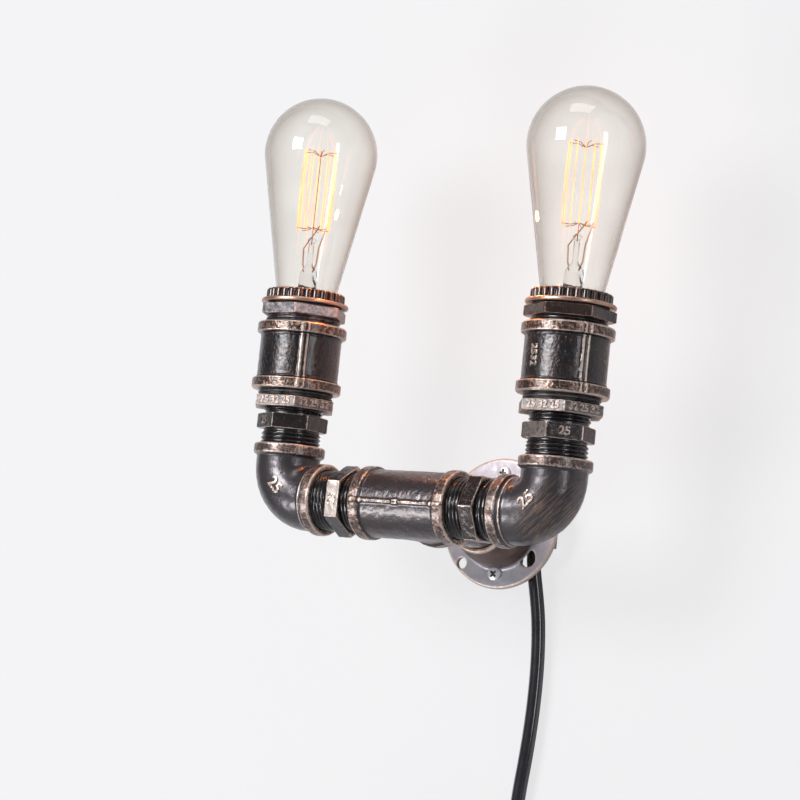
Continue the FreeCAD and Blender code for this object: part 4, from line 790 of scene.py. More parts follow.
class PIPE_OT_cord(Operator):
    """Make the supply cord: from the saddle behind the flange, down the wall and into its tied coil"""

    bl_idname = "pipe_light.cord"
    bl_label = "Cord"

    def execute(self, context):
        light = settings(context)
        route = self.route(light.cord)
        curve = new_curve("supply_cord", "CURVE", 6, dimensions="3D", bevel_depth=light.cord.radius,
                          resolution_u=6, use_fill_caps=True)
        line = add_line(curve, "NURBS", [Vector(spot) * MM for spot in route])
        tuned(line, order_u=3, use_endpoint_u=True)
        piece = link_object("supply_cord", curve)
        curve.materials.append(moulded("cord_sheath", light.finishes.cord, rough=0.2, grain=1500.0,
                                       depth=0.00001, coat=0.8))
        attach(piece, "wall_side", "cord_black", "cord", "cord_coil")
        return {"FINISHED"}

    def route(self, sizes):
        """The listed points of the drop, then the coil's turns; in millimetres."""
        drop = [
            (18.7, -6.0, 0.0),
            (18.7, -6.0, -14.0),
            (20.4, -6.1, -26.0),
            (23.2, -5.9, -38.0),
            (26.2, -5.5, -54.0),
            (28.0, -5.3, -76.0),
            (28.2, -5.4, -101.0),
            (26.6, -5.3, -127.0),
            (23.8, -5.2, -152.0),
            (22.6, -5.2, -177.0),
        ]
        step = sizes.coil_step / MM
        whole, climb = 5.0, 0.5
        entry = math.radians(20.0)
        about = sizes.coil_radius / MM + step * whole / 4
        total = whole + (entry + math.atan(step / (2 * math.pi * about))) / (2 * math.pi)
        middle = total / 2
        outer = sizes.coil_radius / MM + step * (total - climb) / 4

        def spot(turn):
            away = abs(turn - middle)
            least = outer - step * middle
            reach = least + step * (away ** 2 / climb + climb / 4 if away < climb / 2 else away)
            share = min(max((turn - middle) / climb + 0.5, 0.0), 1.0)
            out = step * (3 * share ** 2 - 2 * share ** 3)
            angle = entry - 2 * math.pi * turn
            return Vector((reach * math.cos(angle), -out, reach * math.sin(angle)))

        def heading(turn):
            return (spot(turn + 1e-4) - spot(turn - 1e-4)).normalized()

        straight = 2 * sizes.radius / MM
        start = Vector(drop[-1]) + heading(0) * (25.0 + straight)
        centre = start - spot(0)
        per_turn = 16
        count = int(round(total * per_turn))
        # the spline runs inside its points, so they stand out by half of what it cuts off
        swell = (1 + 1 / math.cos(math.pi / per_turn)) / 2
        turns = []
        for k in range(1, count):
            flat = spot(total * k / count)
            turns.append(centre + Vector((flat.x * swell, flat.y, flat.z * swell)))
        end = centre + spot(total)
        return drop + [start] + turns + [end, end + heading(total) * (sizes.plug_lead / MM)]


class PIPE_OT_flange(Operator):
    """Make the round flange with its bell-shaped hub"""

    bl_idname = "pipe_light.flange"
    bl_label = "Flange"

    def execute(self, context):
        light = settings(context)
        piece = cast_copy("flange_plate", "wall_flange")
        points = points_of(piece.data) / MM
        plate_back, hub_foot, mouth, plate_edge = 12.0, 3.6, 24.5, 36.4
        radius = np.hypot(points[:, 0], points[:, 2])
        out = -points[:, 1] - plate_back
        hub = ramp(out, hub_foot, hub_foot + 2.4)
        rim = band(radius, plate_edge, plate_edge + 2.1, 0.4) * (out > 2.2)
        rub = np.clip(0.35 * hub + 0.75 * rim + ramp(out, mouth, mouth + 2.0), 0, 1)
        mark_edges(piece.data, rub, reach=6, full=0.00018)
        lumpy(piece.data, amount=0.00006, size=0.006, seed=3)
        store(piece.data, "hub", hub)
        dress(piece, self.material(light.finishes), 50.0, "wall_side", "flange_lacquer", "wall_flange")
        return {"FINISHED"}

    def material(self, finishes):
        """Satin grey plate, brown hub, worn metal at the edges, fine scratches."""
        material, tree, shader = new_material("flange_lacquer", Coat_Roughness=0.3, Metallic=0.5)
        point = object_point(tree)
        wear = shared(tree, wear_group, {"Vector": point, "Edge": attribute(tree, "edge"),
                                         "Rub": attribute(tree, "rub")})
        surface = shared(tree, skin_group, {"Vector": point, "Scale": 0.8, "Pits": 0.1})
        plate = blend_colour(tree, surface["Cloud"], (0.42, 0.40, 0.43, 1), (0.34, 0.32, 0.35, 1))
        hub = blend_colour(tree, surface["Cloud"], (0.09, 0.062, 0.055, 1), (0.15, 0.10, 0.085, 1))
        tone = blend_colour(tree, attribute(tree, "hub"), plate, hub)
        tone = blend_colour(tree, times(tree, wear["Patches"], 0.6), tone, rgba(finishes.copper))
        tone = blend_colour(tree, wear["Edges"], tone, rgba(finishes.pale))
        lines = mapped(tree, point, (0.0, 0.7, 0.0), (0.012, 0.012, 0.0006))
        scratch = shared(tree, streak_group, {"Vector": lines, "Share": 0.12})[0]
        set_inputs(shader, {
            "Base Color": blend_colour(tree, times(tree, scratch, 0.5), tone, rgba(finishes.pale)),
            "Roughness": plus(tree, times(tree, surface["Cloud"], 0.12), 0.36),
            "Normal": bump(tree, surface["Height"], 0.00006),
        })
        return material


class PIPE_OT_tee(Operator):
    """Make the tee: lumpy beads at its three mouths and a casting seam in front"""

    bl_idname = "pipe_light.tee"
    bl_label = "Tee"

    def execute(self, context):
        light = settings(context)
        finishes = light.finishes
        piece = cast_copy("tee_casting", "tee")
        points = points_of(piece.data) / MM
        across = np.abs(points[:, 0])
        back = points[:, 1] + light.fittings.run_reach / MM
        bead_foot, bead_top = 23.2, 24.6
        beads = np.maximum(ramp(across, bead_foot, bead_top), ramp(back, bead_foot, bead_top))
        # small knobs where the seam meets the beads
        lift = np.zeros(len(points))
        for spot, size in SEAM_KNOBS:
            near = np.exp(-((points[:, 0] - spot) / size) ** 2 - (points[:, 2] / (1.3 * size)) ** 2)
            lift += 0.75 * near * (back < -15.0)
        raise_by(piece.data, points, lift)
        mark_edges(piece.data, 0.34 + 0.32 * beads, reach=7, full=0.00028)
        lumpy(piece.data, light.fittings.lump, size=0.0035, seed=11)
        material = worn_casting("tee_lacquer", finishes.graphite, finishes.brown, finishes.pale,
                                finishes.copper, rough=0.26, pits=0.4, skin=0.6, height=0.00018)
        dress(piece, material, 60.0, "wall_side", "dark_iron", "tee")
        return {"FINISHED"}


class PIPE_OT_elbows(Operator):
    """Make the two elbows: beads at their mouths and a low ridge behind the one on the run"""

    bl_idname = "pipe_light.elbows"
    bl_label = "Elbows"

    def execute(self, context):
        light = settings(context)
        finishes = light.finishes
        look = {"base": finishes.graphite, "film": (0.045, 0.036, 0.036), "edge_tone": finishes.pale,
                "patch_tone": finishes.copper, "rough": 0.27, "pits": 0.2, "skin": 1.2, "height": 0.00010}
        plain = worn_casting("elbow_lacquer", **look)
        turn = [math.radians(angle) for angle in (0.0, -50.0, 33.0)]
        streaks = (turn, (0.103, -0.122, -0.010), 0.034, (0.27, 0.19, 0.15))
        brushed = worn_casting("elbow_brushed", streaks=streaks, **look)
        for word, side in SIDES:
            piece = cast_copy(word + "_elbow_casting", word + "_elbow")
            points = points_of(piece.data) / MM
            inward = -side * points[:, 0] + light.fittings.arm_offset / MM
            up = points[:, 2]
            depth = points[:, 1] + light.fittings.run_reach / MM
            bead_foot, bead_top, ridge_at = 23.4, 24.4, 21.6
            beads = np.maximum(ramp(inward, bead_foot, bead_top), ramp(up, bead_foot, bead_top))
            # a low second ridge stands behind the bead on the run
            around_run = np.hypot(up, depth)
            ridge = np.exp(-((inward - ridge_at) / 0.9) ** 2) * (around_run > 17.0) * (up < 19.5)
            raise_by(piece.data, points, 0.75 * ridge)
            mark_edges(piece.data, 0.26 + 0.4 * beads, reach=7, full=0.00026)
            lumpy(piece.data, light.fittings.lump * 0.7, size=0.005, seed=21 + side)
            dress(piece, brushed if side > 0 else plain, 60.0, word + "_arm", "dark_iron", word + "_elbow")
        return {"FINISHED"}


class PIPE_OT_nipples(Operator):
    """Make the four hexagon nipples and the wall pipe, with climbing threads"""

    bl_idname = "pipe_light.nipples"
    bl_label = "Nipples and pipe"

    def execute(self, context):
        light = settings(context)
        self.material = self.worn_hexagon(light.finishes)
        for word, side in SIDES:
            stack = Stack(word, side, light.fittings)
            low, high = stack.span("riser_nipple")
            turn = math.radians(TURNS[word]["riser"])
            self.nipple(light, word + "_riser_piece", low, high, turn, stack.at, None, stack.body,
                        word + "_riser_nipple", RISER_FRONT_WEAR_AND_SHEEN[word])
            box_low, box_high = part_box(word + "_run_nipple")
            near, far = sorted((abs(box_low.x) / MM, abs(box_high.x) / MM))
            # the third value is how much the front flat is rubbed: partly real wear, partly a painted
            # highlight on the flat that faces the front
            spin, tilt, rub = (0.0, TO_LEFT, 1.15) if side < 0 else (math.radians(30), TO_RIGHT, 0.6)
            self.nipple(light, word + "_run_piece", near, far, spin, (0, stack.at[1], 0), tilt, "wall_side",
                        word + "_run_nipple", rub)
        self.wall_pipe(light)
        return {"FINISHED"}

    def worn_hexagon(self, finishes):
        return worn_casting("hexagon_lacquer", finishes.lacquer, (0.040, 0.030, 0.028), finishes.pale,
                            (0.42, 0.36, 0.33), rough=0.2, pits=0.3, height=0.00006)

    def nipple(self, light, name, low, high, turn, at, tilt, body, node, rub):
        sizes = light.fittings
        middle = (low + high) / 2
        hex_low, hex_high = middle - HEX_HIGH / 2, middle + HEX_HIGH / 2
        pitch = sizes.thread_pitch / MM

        def outside(around, up):
            lower = helix(sizes, sizes.pipe_radius, around, up, low + 0.6, hex_low - 1.2)
            upper = helix(sizes, sizes.pipe_radius, around, up, hex_high + 1.2, high - 0.6)
            radius = np.where(up < middle, lower, upper)
            radius = radius - 0.7 * (1 - ramp(np.minimum(up - low, high - up), 0.0, 0.8))
            return hexagon_radius(radius, around, up, HEX_CORNER, turn, hex_low, hex_high)

        heights = steps(low, (hex_low - 0.02, pitch / 10), (hex_low, 0.02), (hex_low + 1.0, 0.2),
                        (hex_high - 1.0, 0.8), (hex_high, 0.2), (hex_high + 0.02, 0.02), (high, pitch / 10))
        mesh = field_body(name, heights, outside, sizes.pipe_bore / MM, columns=144, start=turn)
        points = points_of(mesh) / MM
        store(mesh, "edge", hexagon_edges(points, HEX_CORNER, turn, hex_low, hex_high))
        on_hex = band(points[:, 2], hex_low, hex_high, 0.2)
        lumpy(mesh, sizes.lump * 0.8, size=0.003, seed=len(name) + at[0] * 0.01)
        place_mesh(mesh, at, tilt)
        # painted highlight: flats that face the front take the given rub, on top of the real wear, as a
        # stand-in for the light that falls on them
        front = ramp(-normals_of(mesh)[:, 1], 0.7, 0.95)
        store(mesh, "rub", on_hex * (0.42 + (rub - 0.42) * front))
        dress(link_object(name, mesh), self.material, 40.0, body, "worn_iron", node)

    def wall_pipe(self, light):
        sizes = light.fittings
        low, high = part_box("wall_pipe")
        near, far = -high.y / MM, -low.y / MM
        pitch, crest = sizes.thread_pitch / MM, sizes.pipe_radius / MM
        thread = pitch * 8.5

        def outside(around, up):
            lower = helix(sizes, sizes.pipe_radius, around, up, near + 0.6, near + thread)
            upper = helix(sizes, sizes.pipe_radius, around, up, far - thread, far - 0.6)
            middle = band(up, near + thread + 0.4, far - thread - 0.4, 0.4)
            both = np.where(up < (near + far) / 2, lower, upper)
            return both * (1 - middle) + crest * middle

        name = "wall_pipe_piece"
        heights = steps(near, (near + thread + 1, pitch / 8), (far - thread - 1, 1.5), (far, pitch / 8))
        mesh = field_body(name, heights, outside, sizes.pipe_bore / MM, columns=120)
        mark_edges(mesh, np.full(len(mesh.vertices), 0.3), reach=7, full=0.0005)
        place_mesh(mesh, (0, 0, 0), TO_ROOM)
        dress(link_object(name, mesh), self.material, 40.0, "wall_side", "dark_iron", "wall_pipe")


class PIPE_OT_bushings(Operator):
    """Make the four reducing bushings: a cast hexagon and a wide thread"""

    bl_idname = "pipe_light.bushings"
    bl_label = "Bushings"

    def execute(self, context):
        light = settings(context)
        finishes = light.finishes
        grey = worn_casting("bushing_casting", finishes.lacquer, (0.21, 0.19, 0.185), finishes.pale,
                            (0.33, 0.29, 0.28), rough=0.42, pits=0.6, skin=0.6, height=0.0003, coat=0.1)
        silver = worn_casting("bushing_silver", finishes.lacquer, finishes.casting, finishes.copper,
                              (0.46, 0.42, 0.43), rough=0.34, pits=0.2, height=0.00005, metal=0.7, coat=0.1)
        dark = worn_casting("bushing_dark", finishes.lacquer, (0.07, 0.042, 0.032), finishes.copper,
                            finishes.copper, rough=0.24, pits=0.4, height=0.00008)
        for word, side in SIDES:
            stack = Stack(word, side, light.fittings)
            self.bushing(light, stack, "lower", grey)
            self.bushing(light, stack, "upper", silver if side < 0 else dark)
        return {"FINISHED"}

    def bushing(self, light, stack, kind, material):
        sizes = light.fittings
        low, high = stack.span(kind + "_bushing")
        turn = math.radians(TURNS[stack.word][kind])
        lower = kind == "lower"
        hex_low, hex_high = (low, low + BUSH_HIGH) if lower else (high - BUSH_HIGH, high)
        thread = (hex_high + 0.5, high - 0.5) if lower else (low + 0.5, hex_low - 0.5)
        bore = sizes.pipe_radius / MM + THREAD_GAP if lower else HOLDER_BORE

        def outside(around, up):
            radius = helix(sizes, sizes.wide_radius, around, up, *thread)
            return hexagon_radius(radius, around, up, BUSH_CORNER, turn, hex_low, hex_high, 0.8)

        fine = sizes.thread_pitch / MM / 10
        edge_rows = ((hex_low + 0.8, 0.16), (hex_high - 0.8, 0.6), (hex_high, 0.16))
        if lower:
            heights = steps(low, *edge_rows, (hex_high + 0.02, 0.02), (high, fine))
        else:
            heights = steps(low, (hex_low - 0.02, fine), (hex_low, 0.02), *edge_rows)
        node = "%s_%s_bushing" % (stack.word, kind)
        mesh = field_body(node + "_piece", heights, outside, bore, columns=180, start=turn)
        points = points_of(mesh) / MM
        edges = hexagon_edges(points, BUSH_CORNER, turn, hex_low, hex_high)
        store(mesh, "edge", edges * (1.0 if lower else 0.8))
        on_hex = band(points[:, 2], hex_low, hex_high, 0.2)
        store(mesh, "rub", on_hex * (0.7 if lower or stack.side < 0 else 0.4))
        lumpy(mesh, sizes.lump * (1.3 if lower else 0.6), size=0.0022,
              seed=31 + stack.side + (5 if lower else 0))
        place_mesh(mesh, stack.at)
        dress(link_object(node + "_piece", mesh), material, 40.0, stack.body, "grey_iron", node)


class PIPE_OT_couplings(Operator):
    """Make the two couplings: rounded beads and a casting rib up one side"""

    bl_idname = "pipe_light.couplings"
    bl_label = "Couplings"

    def execute(self, context):
        light = settings(context)
        finishes = light.finishes
        material = worn_casting("coupling_lacquer", finishes.lacquer, finishes.brown, finishes.pale,
                                finishes.copper, rough=0.2, pits=0.4, skin=0.5, height=0.0004)
        bore = light.fittings.wide_radius / MM + THREAD_GAP
        body, bead = 22.8, 25.1
        for word, side in SIDES:
            stack = Stack(word, side, light.fittings)
            low, high = stack.span("coupling")
            rib = math.radians(TURNS[word]["rib"])

            def outside(around, up):
                ends = np.minimum(up - low, high - up)
                beads = band(ends, -2.0, 6.0, 0.5)
                radius = body + (bead - body) * beads - 0.7 * (1 - ramp(ends, 0.0, 0.9))
                radius = radius + 0.35 * np.exp(-((ends - 6.9) / 0.5) ** 2)
                off = np.abs((around - rib + math.pi) % (2 * math.pi) - math.pi) * body
                ridge = 1 - beads + 0.6 * beads - 0.35 * np.exp(-(off / 0.9) ** 2)
                return radius + (1 - ramp(off, 1.75, 2.5)) * ridge

            name = word + "_coupling_piece"
            heights = steps(low, (low + 7.6, 0.24), (high - 7.6, 0.55), (high, 0.24))
            mesh = field_body(name, heights, outside, bore, columns=260)
            up = points_of(mesh)[:, 2] / MM
            ends = np.minimum(up - low, high - up)
            mark_edges(mesh, 0.12 + 0.54 * band(ends, -2.0, 6.2, 0.4), reach=6, full=0.00022)
            lumpy(mesh, light.fittings.lump * 0.7, size=0.0022, seed=41 + side)
            place_mesh(mesh, stack.at)
            dress(link_object(name, mesh), material, 50.0, stack.body, "dark_iron", word + "_coupling")
        return {"FINISHED"}


def copies_tree(name, sockets, build):
    """A tree that puts copies of a form on points, makes them real and gives them the finish."""
    tree = bpy.data.node_groups.new(name, "GeometryNodeTree")
    for label, kind in (*sockets, ("Finish", "Material")):
        tree.interface.new_socket(label, in_out="INPUT", socket_type="NodeSocket" + kind)
    tree.interface.new_socket("Geometry", in_out="OUTPUT", socket_type="NodeSocketGeometry")
    given = tree.nodes.new("NodeGroupInput").outputs
    out = tree.nodes.new("NodeGroupOutput")
    copies = add(tree, "GeometryNodeInstanceOnPoints", None, build(tree, given)).outputs[0]
    real = add(tree, "GeometryNodeRealizeInstances", None, {"Geometry": copies}).outputs[0]
    painted = add(tree, "GeometryNodeSetMaterial", None, {"Geometry": real, "Material": given["Finish"]})
    set_inputs(out, {0: painted.outputs[0]})
    return tree


def points_on_ring(tree, given):
    inputs = {"Vertices": given["Count"], "Radius": given["Radius"]}
    return add(tree, "GeometryNodeMeshCircle", None, inputs).outputs[0]


def form_of(tree, thing):
    info = add(tree, "GeometryNodeObjectInfo", {"transform_space": "ORIGINAL"}, {"Object": thing})
    return info.outputs["Geometry"]


def lobe_tree():
    """Lobes round a circle."""
    def build(tree, given):
        return {"Points": points_on_ring(tree, given), "Instance": form_of(tree, given["Lobe"])}

    sockets = (("Count", "Int"), ("Radius", "Float"), ("Lobe", "Object"))
    return copies_tree("lobes_round_a_ring", sockets, build)


def strand_tree():
    """Bowed strands round a cage, each a thin tube on its own line."""
    def build(tree, given):
        low = add(tree, "ShaderNodeCombineXYZ", None, {"Z": given["Low"]}).outputs[0]
        high = add(tree, "ShaderNodeCombineXYZ", None, {"Z": given["High"]}).outputs[0]
        both = add(tree, "ShaderNodeVectorMath", {"operation": "ADD"}, {0: low, 1: high}).outputs[0]
        middle = add(tree, "ShaderNodeVectorMath", {"operation": "SCALE"}, {0: both, "Scale": 0.5}).outputs[0]
        bowed = add(tree, "ShaderNodeVectorMath", {"operation": "ADD"}, {0: middle, 1: STRAND_BOW}).outputs[0]
        line = add(tree, "GeometryNodeCurveQuadraticBezier", None,
                   {"Resolution": 14, "Start": low, "Middle": bowed, "End": high}).outputs[0]
        section = add(tree, "GeometryNodeCurvePrimitiveCircle", None,
                      {"Resolution": 7, "Radius": given["Wire"]}).outputs[0]
        tube = add(tree, "GeometryNodeCurveToMesh", None,
                   {"Curve": line, "Profile Curve": section, "Fill Caps": True}).outputs[0]
        place = add(tree, "GeometryNodeInputPosition").outputs[0]
        outward = add(tree, "FunctionNodeAlignRotationToVector", {"axis": "X"}, {"Vector": place}).outputs[0]
        return {"Points": points_on_ring(tree, given), "Instance": tube, "Rotation": outward}

    sockets = [("Count", "Int")] + [(label, "Float") for label in ("Radius", "Wire", "Low", "High")]
    return copies_tree("strands_round_a_cage", sockets, build)


def screw_tree():
    """The same screw on each point of a given set, each with its own turn."""
    def build(tree, given):
        spin = times(tree, add(tree, "GeometryNodeInputIndex").outputs[0], given["Turn"])
        turn = add(tree, "ShaderNodeCombineXYZ", None, {"X": math.pi / 2, "Y": spin}).outputs[0]
        return {"Points": given["Geometry"], "Instance": form_of(tree, given["Screw"]), "Rotation": turn}

    sockets = (("Geometry", "Geometry"), ("Screw", "Object"), ("Turn", "Float"))
    return copies_tree("screws_on_points", sockets, build)


def run_tree(piece, tree, values):
    """Gives a piece the tree with its named inputs set, and turns the result into a plain mesh."""
    modifier = piece.modifiers.new(tree.name, "NODES")
    modifier.node_group = tree
    for item in tree.interface.items_tree:
        if item.in_out == "INPUT" and item.name in values:
            modifier[item.identifier] = values[item.name]
    piece.update_tag()
    bpy.context.view_layer.update()
    return baked(piece)


class PIPE_OT_rings(Operator):
    """Make the fluted socket rings"""

    bl_idname = "pipe_light.rings"
    bl_label = "Socket rings"

    def execute(self, context):
        light = settings(context)
        finishes = light.finishes
        material = worn_casting("ring_bronze", (0.022, 0.019, 0.021), (0.085, 0.045, 0.032), finishes.copper,
                                finishes.copper, rough=0.2, pits=0.2, height=0.00003)
        tree = lobe_tree()
        rim_radius, wall_radius, lobe_circle = 24.6, 20.9, 19.9
        for word, side in SIDES:
            stack = Stack(word, side, light.fittings)
            low, high = stack.span("socket_ring")
            rim_top = low + 2.2

            def outside(around, up):
                rim = rim_radius - 0.5 * (1 - ramp(up - low, 0.0, 0.5))
                rim = rim - 0.6 * ramp(up, rim_top - 0.7, rim_top - 0.05)
                wall = wall_radius - (up - rim_top) * 0.1 - 0.5 * ramp(up, high - 0.8, high)
                return np.where(up < rim_top + 0.01, rim, wall)

            heights = steps(low, (rim_top, 0.2), (rim_top + 0.02, 0.02), (high - 0.8, 0.5), (high, 0.2))
            name = word + "_ring_wall"
            mesh = field_body(name, heights, outside, HOLDER_BORE, columns=168)
            ribs = link_object(word + "_ring_ribs", bpy.data.meshes.new(word + "_ring_ribs"))
            foot, wide = rim_top - 0.3, 2.3
            lobe = link_object("one_lobe", revolve("one_lobe", [
                (0, foot), (wide, foot), (wide, high - 1.3), (wide * 0.95, high - 0.6),
                (wide * 0.78, high - 0.15), (wide * 0.5, high), (0, high)], 24))
            run_tree(ribs, tree, {"Count": light.fittings.flute_count, "Radius": lobe_circle * MM,
                                  "Lobe": lobe, "Finish": material})
            with edited(mesh) as form:
                form.from_mesh(ribs.data)
            for helper in (lobe, ribs):
                bpy.data.objects.remove(helper)
            points = points_of(mesh) / MM
            radius, up = np.hypot(points[:, 0], points[:, 1]), points[:, 2]
            rim = band(up, low - 1, rim_top, 0.2) * (radius > 22.8)
            store(mesh, "rub", np.clip(0.6 * rim + 0.35 * ramp(radius, 21.2, 22.1) + 0.1, 0, 1))
            crest = ramp(up, high - 1.2, high - 0.5) * ramp(radius, 20.6, 21.4)
            store(mesh, "edge", np.clip(0.75 * crest + 0.95 * band(radius, 24.1, 25.0, 0.15), 0, 1))
            place_mesh(mesh, stack.at)
            dress(link_object(name, mesh), material, 40.0, word + "_ring", "aged_bronze",
                  word + "_socket_ring")
        return {"FINISHED"}


def revolve(name, outline, columns=96):
    """A closed body turned about Z from a closed outline of (radius, height) in millimetres."""
    angles = np.arange(columns) * 2 * math.pi / columns
    radius = np.array([p[0] for p in outline])[:, None]
    height = np.array([p[1] for p in outline])[:, None] + 0 * angles[None, :]
    points = np.stack([radius * np.cos(angles), radius * np.sin(angles), height], axis=-1).reshape(-1, 3) * MM
    mesh = mesh_from(name, points, grid_faces(len(outline), columns, True))
    with edited(mesh) as form:
        weld(form)
        bmesh.ops.dissolve_degenerate(form, edges=form.edges, dist=1e-7)
        turn_outwards(form)
    return mesh


class PIPE_OT_bulbs(Operator):
    """Make the blown glass bulbs and their glass stems"""

    bl_idname = "pipe_light.bulbs"
    bl_label = "Bulbs"

    def execute(self, context):
        light = settings(context)
        glass = bulb_glass("blown_glass", light.finishes.glass, light.finishes.smoke, 0.0)
        clear = bulb_glass("stem_glass", (0.97, 0.97, 0.95), (0.45, 0.42, 0.38), 0.02)
        for word, side in SIDES:
            stack = Stack(word, side, light.fittings)
            tip = stack.span("tip_contact")[0]
            at = (stack.at[0], stack.at[1], tip)
            for name, mesh, material, angle, slot, node in (
                    ("glass", revolve(word + "_glass_piece", self.profile(light.bulb)), glass, 80.0,
                     "amber_glass", "bulb_glass"),
                    ("stem", self.stem(word + "_stem_piece"), clear, 60.0, "clear_glass", "glass_stem")):
                place_mesh(mesh, at)
                piece = link_object("%s_%s_piece" % (word, name), mesh)
                dress(piece, material, angle, word + "_bulb", slot, "%s_%s" % (word, node))
        return {"FINISHED"}

    def profile(self, bulb):
        """Throat, round shoulder, straight taper and dome on the outside, then back down inside."""
        big, tall, wall = bulb.radius / MM, bulb.tall / MM, bulb.wall / MM
        flare = math.radians(11.0)
        centre = tall - big
        meet = centre - big * math.sin(flare)
        foot, throat = 31.0, 11.0
        neck = big * math.cos(flare) - (meet - foot) * math.tan(flare)
        shape = [(throat, 22.2), (throat, 25.4), (11.5, 26.6), (13.2, 27.2), (15.2, 27.9), (16.5, 29.0),
                 (neck, foot)]
        taper = 16
        shape += [(neck + (meet - foot) * k / taper * math.tan(flare), foot + (meet - foot) * k / taper)
                  for k in range(1, taper)]
        turns = 26
        for k in range(turns + 1):
            angle = -flare + (math.pi / 2 + flare) * k / turns
            shape.append((max(big * math.cos(angle), 0.0), centre + big * math.sin(angle)))
        inner = []
        for r, z in reversed(shape):
            if z > centre:
                scale = (big - wall) / big
                inner.append((r * scale, centre + (z - centre) * scale))
            elif r > throat:
                inner.append((max(r - wall, throat - 0.7), z + (wall * 0.8 if z < foot else 0.0)))
            else:
                inner.append((r - wall, z))
        return shape + inner

    def stem(self, name):
        """Flared tube that is pinched flat at its top, with a slim rod to the upper hooks."""
        outline = [(0.0, 24.0), (9.3, 23.7), (9.6, 24.4), (8.6, 26.2), (6.6, 28.8), (5.4, 32.0), (5.0, 36.0),
                   (4.9, 40.0), (4.4, 42.5), (3.2, 44.6), (1.9, 46.2), (1.6, 48.0), (1.55, 58.6), (2.3, 59.6),
                   (2.7, 60.6), (2.3, 61.6), (1.2, 62.0), (0.0, 62.0)]
        mesh = revolve(name, outline, 48)
        points = points_of(mesh)
        pinch = band(points[:, 2] / MM, 36.5, 45.0, 2.5)
        points[:, 1] *= 1 - 0.45 * pinch
        points[:, 0] *= 1 + 0.2 * pinch
        set_points(mesh, points)
        return mesh


class PIPE_OT_filaments(Operator):
    """Make the lit strands and the hooks that hold them"""

    bl_idname = "pipe_light.filaments"
    bl_label = "Filaments"

    def execute(self, context):
        light = settings(context)
        tree = strand_tree()
        glow = lit_wire("lit_filament", light.finishes.glow)
        for word, side in SIDES:
            stack = Stack(word, side, light.fittings)
            low, high = stack.span("filament")
            tip = stack.span("tip_contact")[0]
            name = word + "_strands"
            piece = link_object(name, bpy.data.meshes.new(name))
            run_tree(piece, tree, {"Count": light.bulb.strands, "Radius": light.bulb.cage, "Finish": glow,
                                   "Wire": light.bulb.strand, "Low": (low - tip + 0.3) * MM,
                                   "High": (high - tip - 0.3) * MM})
            place_mesh(piece.data, (stack.at[0], stack.at[1], tip))
            attach(piece, word + "_bulb", "glowing_wire", word + "_filament")
            self.hooks(light, word, stack, low, high)
        return {"FINISHED"}

    def hooks(self, light, word, stack, low, high):
        """Centre wire, a hook for each turn of the strands, and the two copper wires that feed them."""
        cage = light.bulb.cage / MM
        count = light.bulb.strands
        half = cage * math.sin(math.pi / count)
        tip = stack.span("tip_contact")[0]
        fine, thick = [], []
        for k in range(count):
            angle = 2 * math.pi * ((k + 0.5) / count if k < count - 1 else 0)
            up = k % 2 == 0
            end = high - 1.0 if up else low + 1.0
            root = end - 2.2 if up else end + 1.2
            fine.append(self.spokes(angle, ((0.1, root), (cage * 0.5, end), (cage + 0.4, end))))
        fine.append([(0, 0, tip + 58.0), (0, 0, high)])
        for turn in (0, count - 1):
            angle = 2 * math.pi * turn / count
            side = 1 if math.cos(angle + 0.1) > 0 and turn == 0 else -1
            foot = (cage * math.cos(angle), cage * math.sin(angle), low + half)
            thick.append([(side * 2.6, 0, tip + 42.0), (side * 4.6, 0, tip + 47.0),
                          (side * 5.2, 0, tip + 56.0), foot])
        spread = light.bulb.strand * 0.85
        for name, lines, radius, tone, nodes in (
                ("hooks", fine, spread, (0.42, 0.18, 0.08), [word + "_filament_supports"]),
                ("leads", thick, spread * 2.2, (0.62, 0.36, 0.22), [])):
            piece = self.wires("%s_%s" % (word, name), stack, lines, radius)
            material = plain_metal("%s_%s_wire" % (word, name), tone, rough=0.3)
            dress(piece, material, 60.0, word + "_bulb", "support_wire", *nodes)

    def spokes(self, angle, reaches):
        return [(r * math.cos(angle), r * math.sin(angle), z) for r, z in reaches]

    def wires(self, name, stack, lines, radius):
        """Round wires along the lines, which are in millimetres about the stack's axis."""
        curve = new_curve(name, "CURVE", 2, dimensions="3D", bevel_depth=radius, use_fill_caps=True)
        for spots in lines:
            add_line(curve, "POLY", [((stack.at[0] + x) * MM, (stack.at[1] + y) * MM, z * MM)
                                     for x, y, z in spots])
        return link_object(name, surface_of(curve))


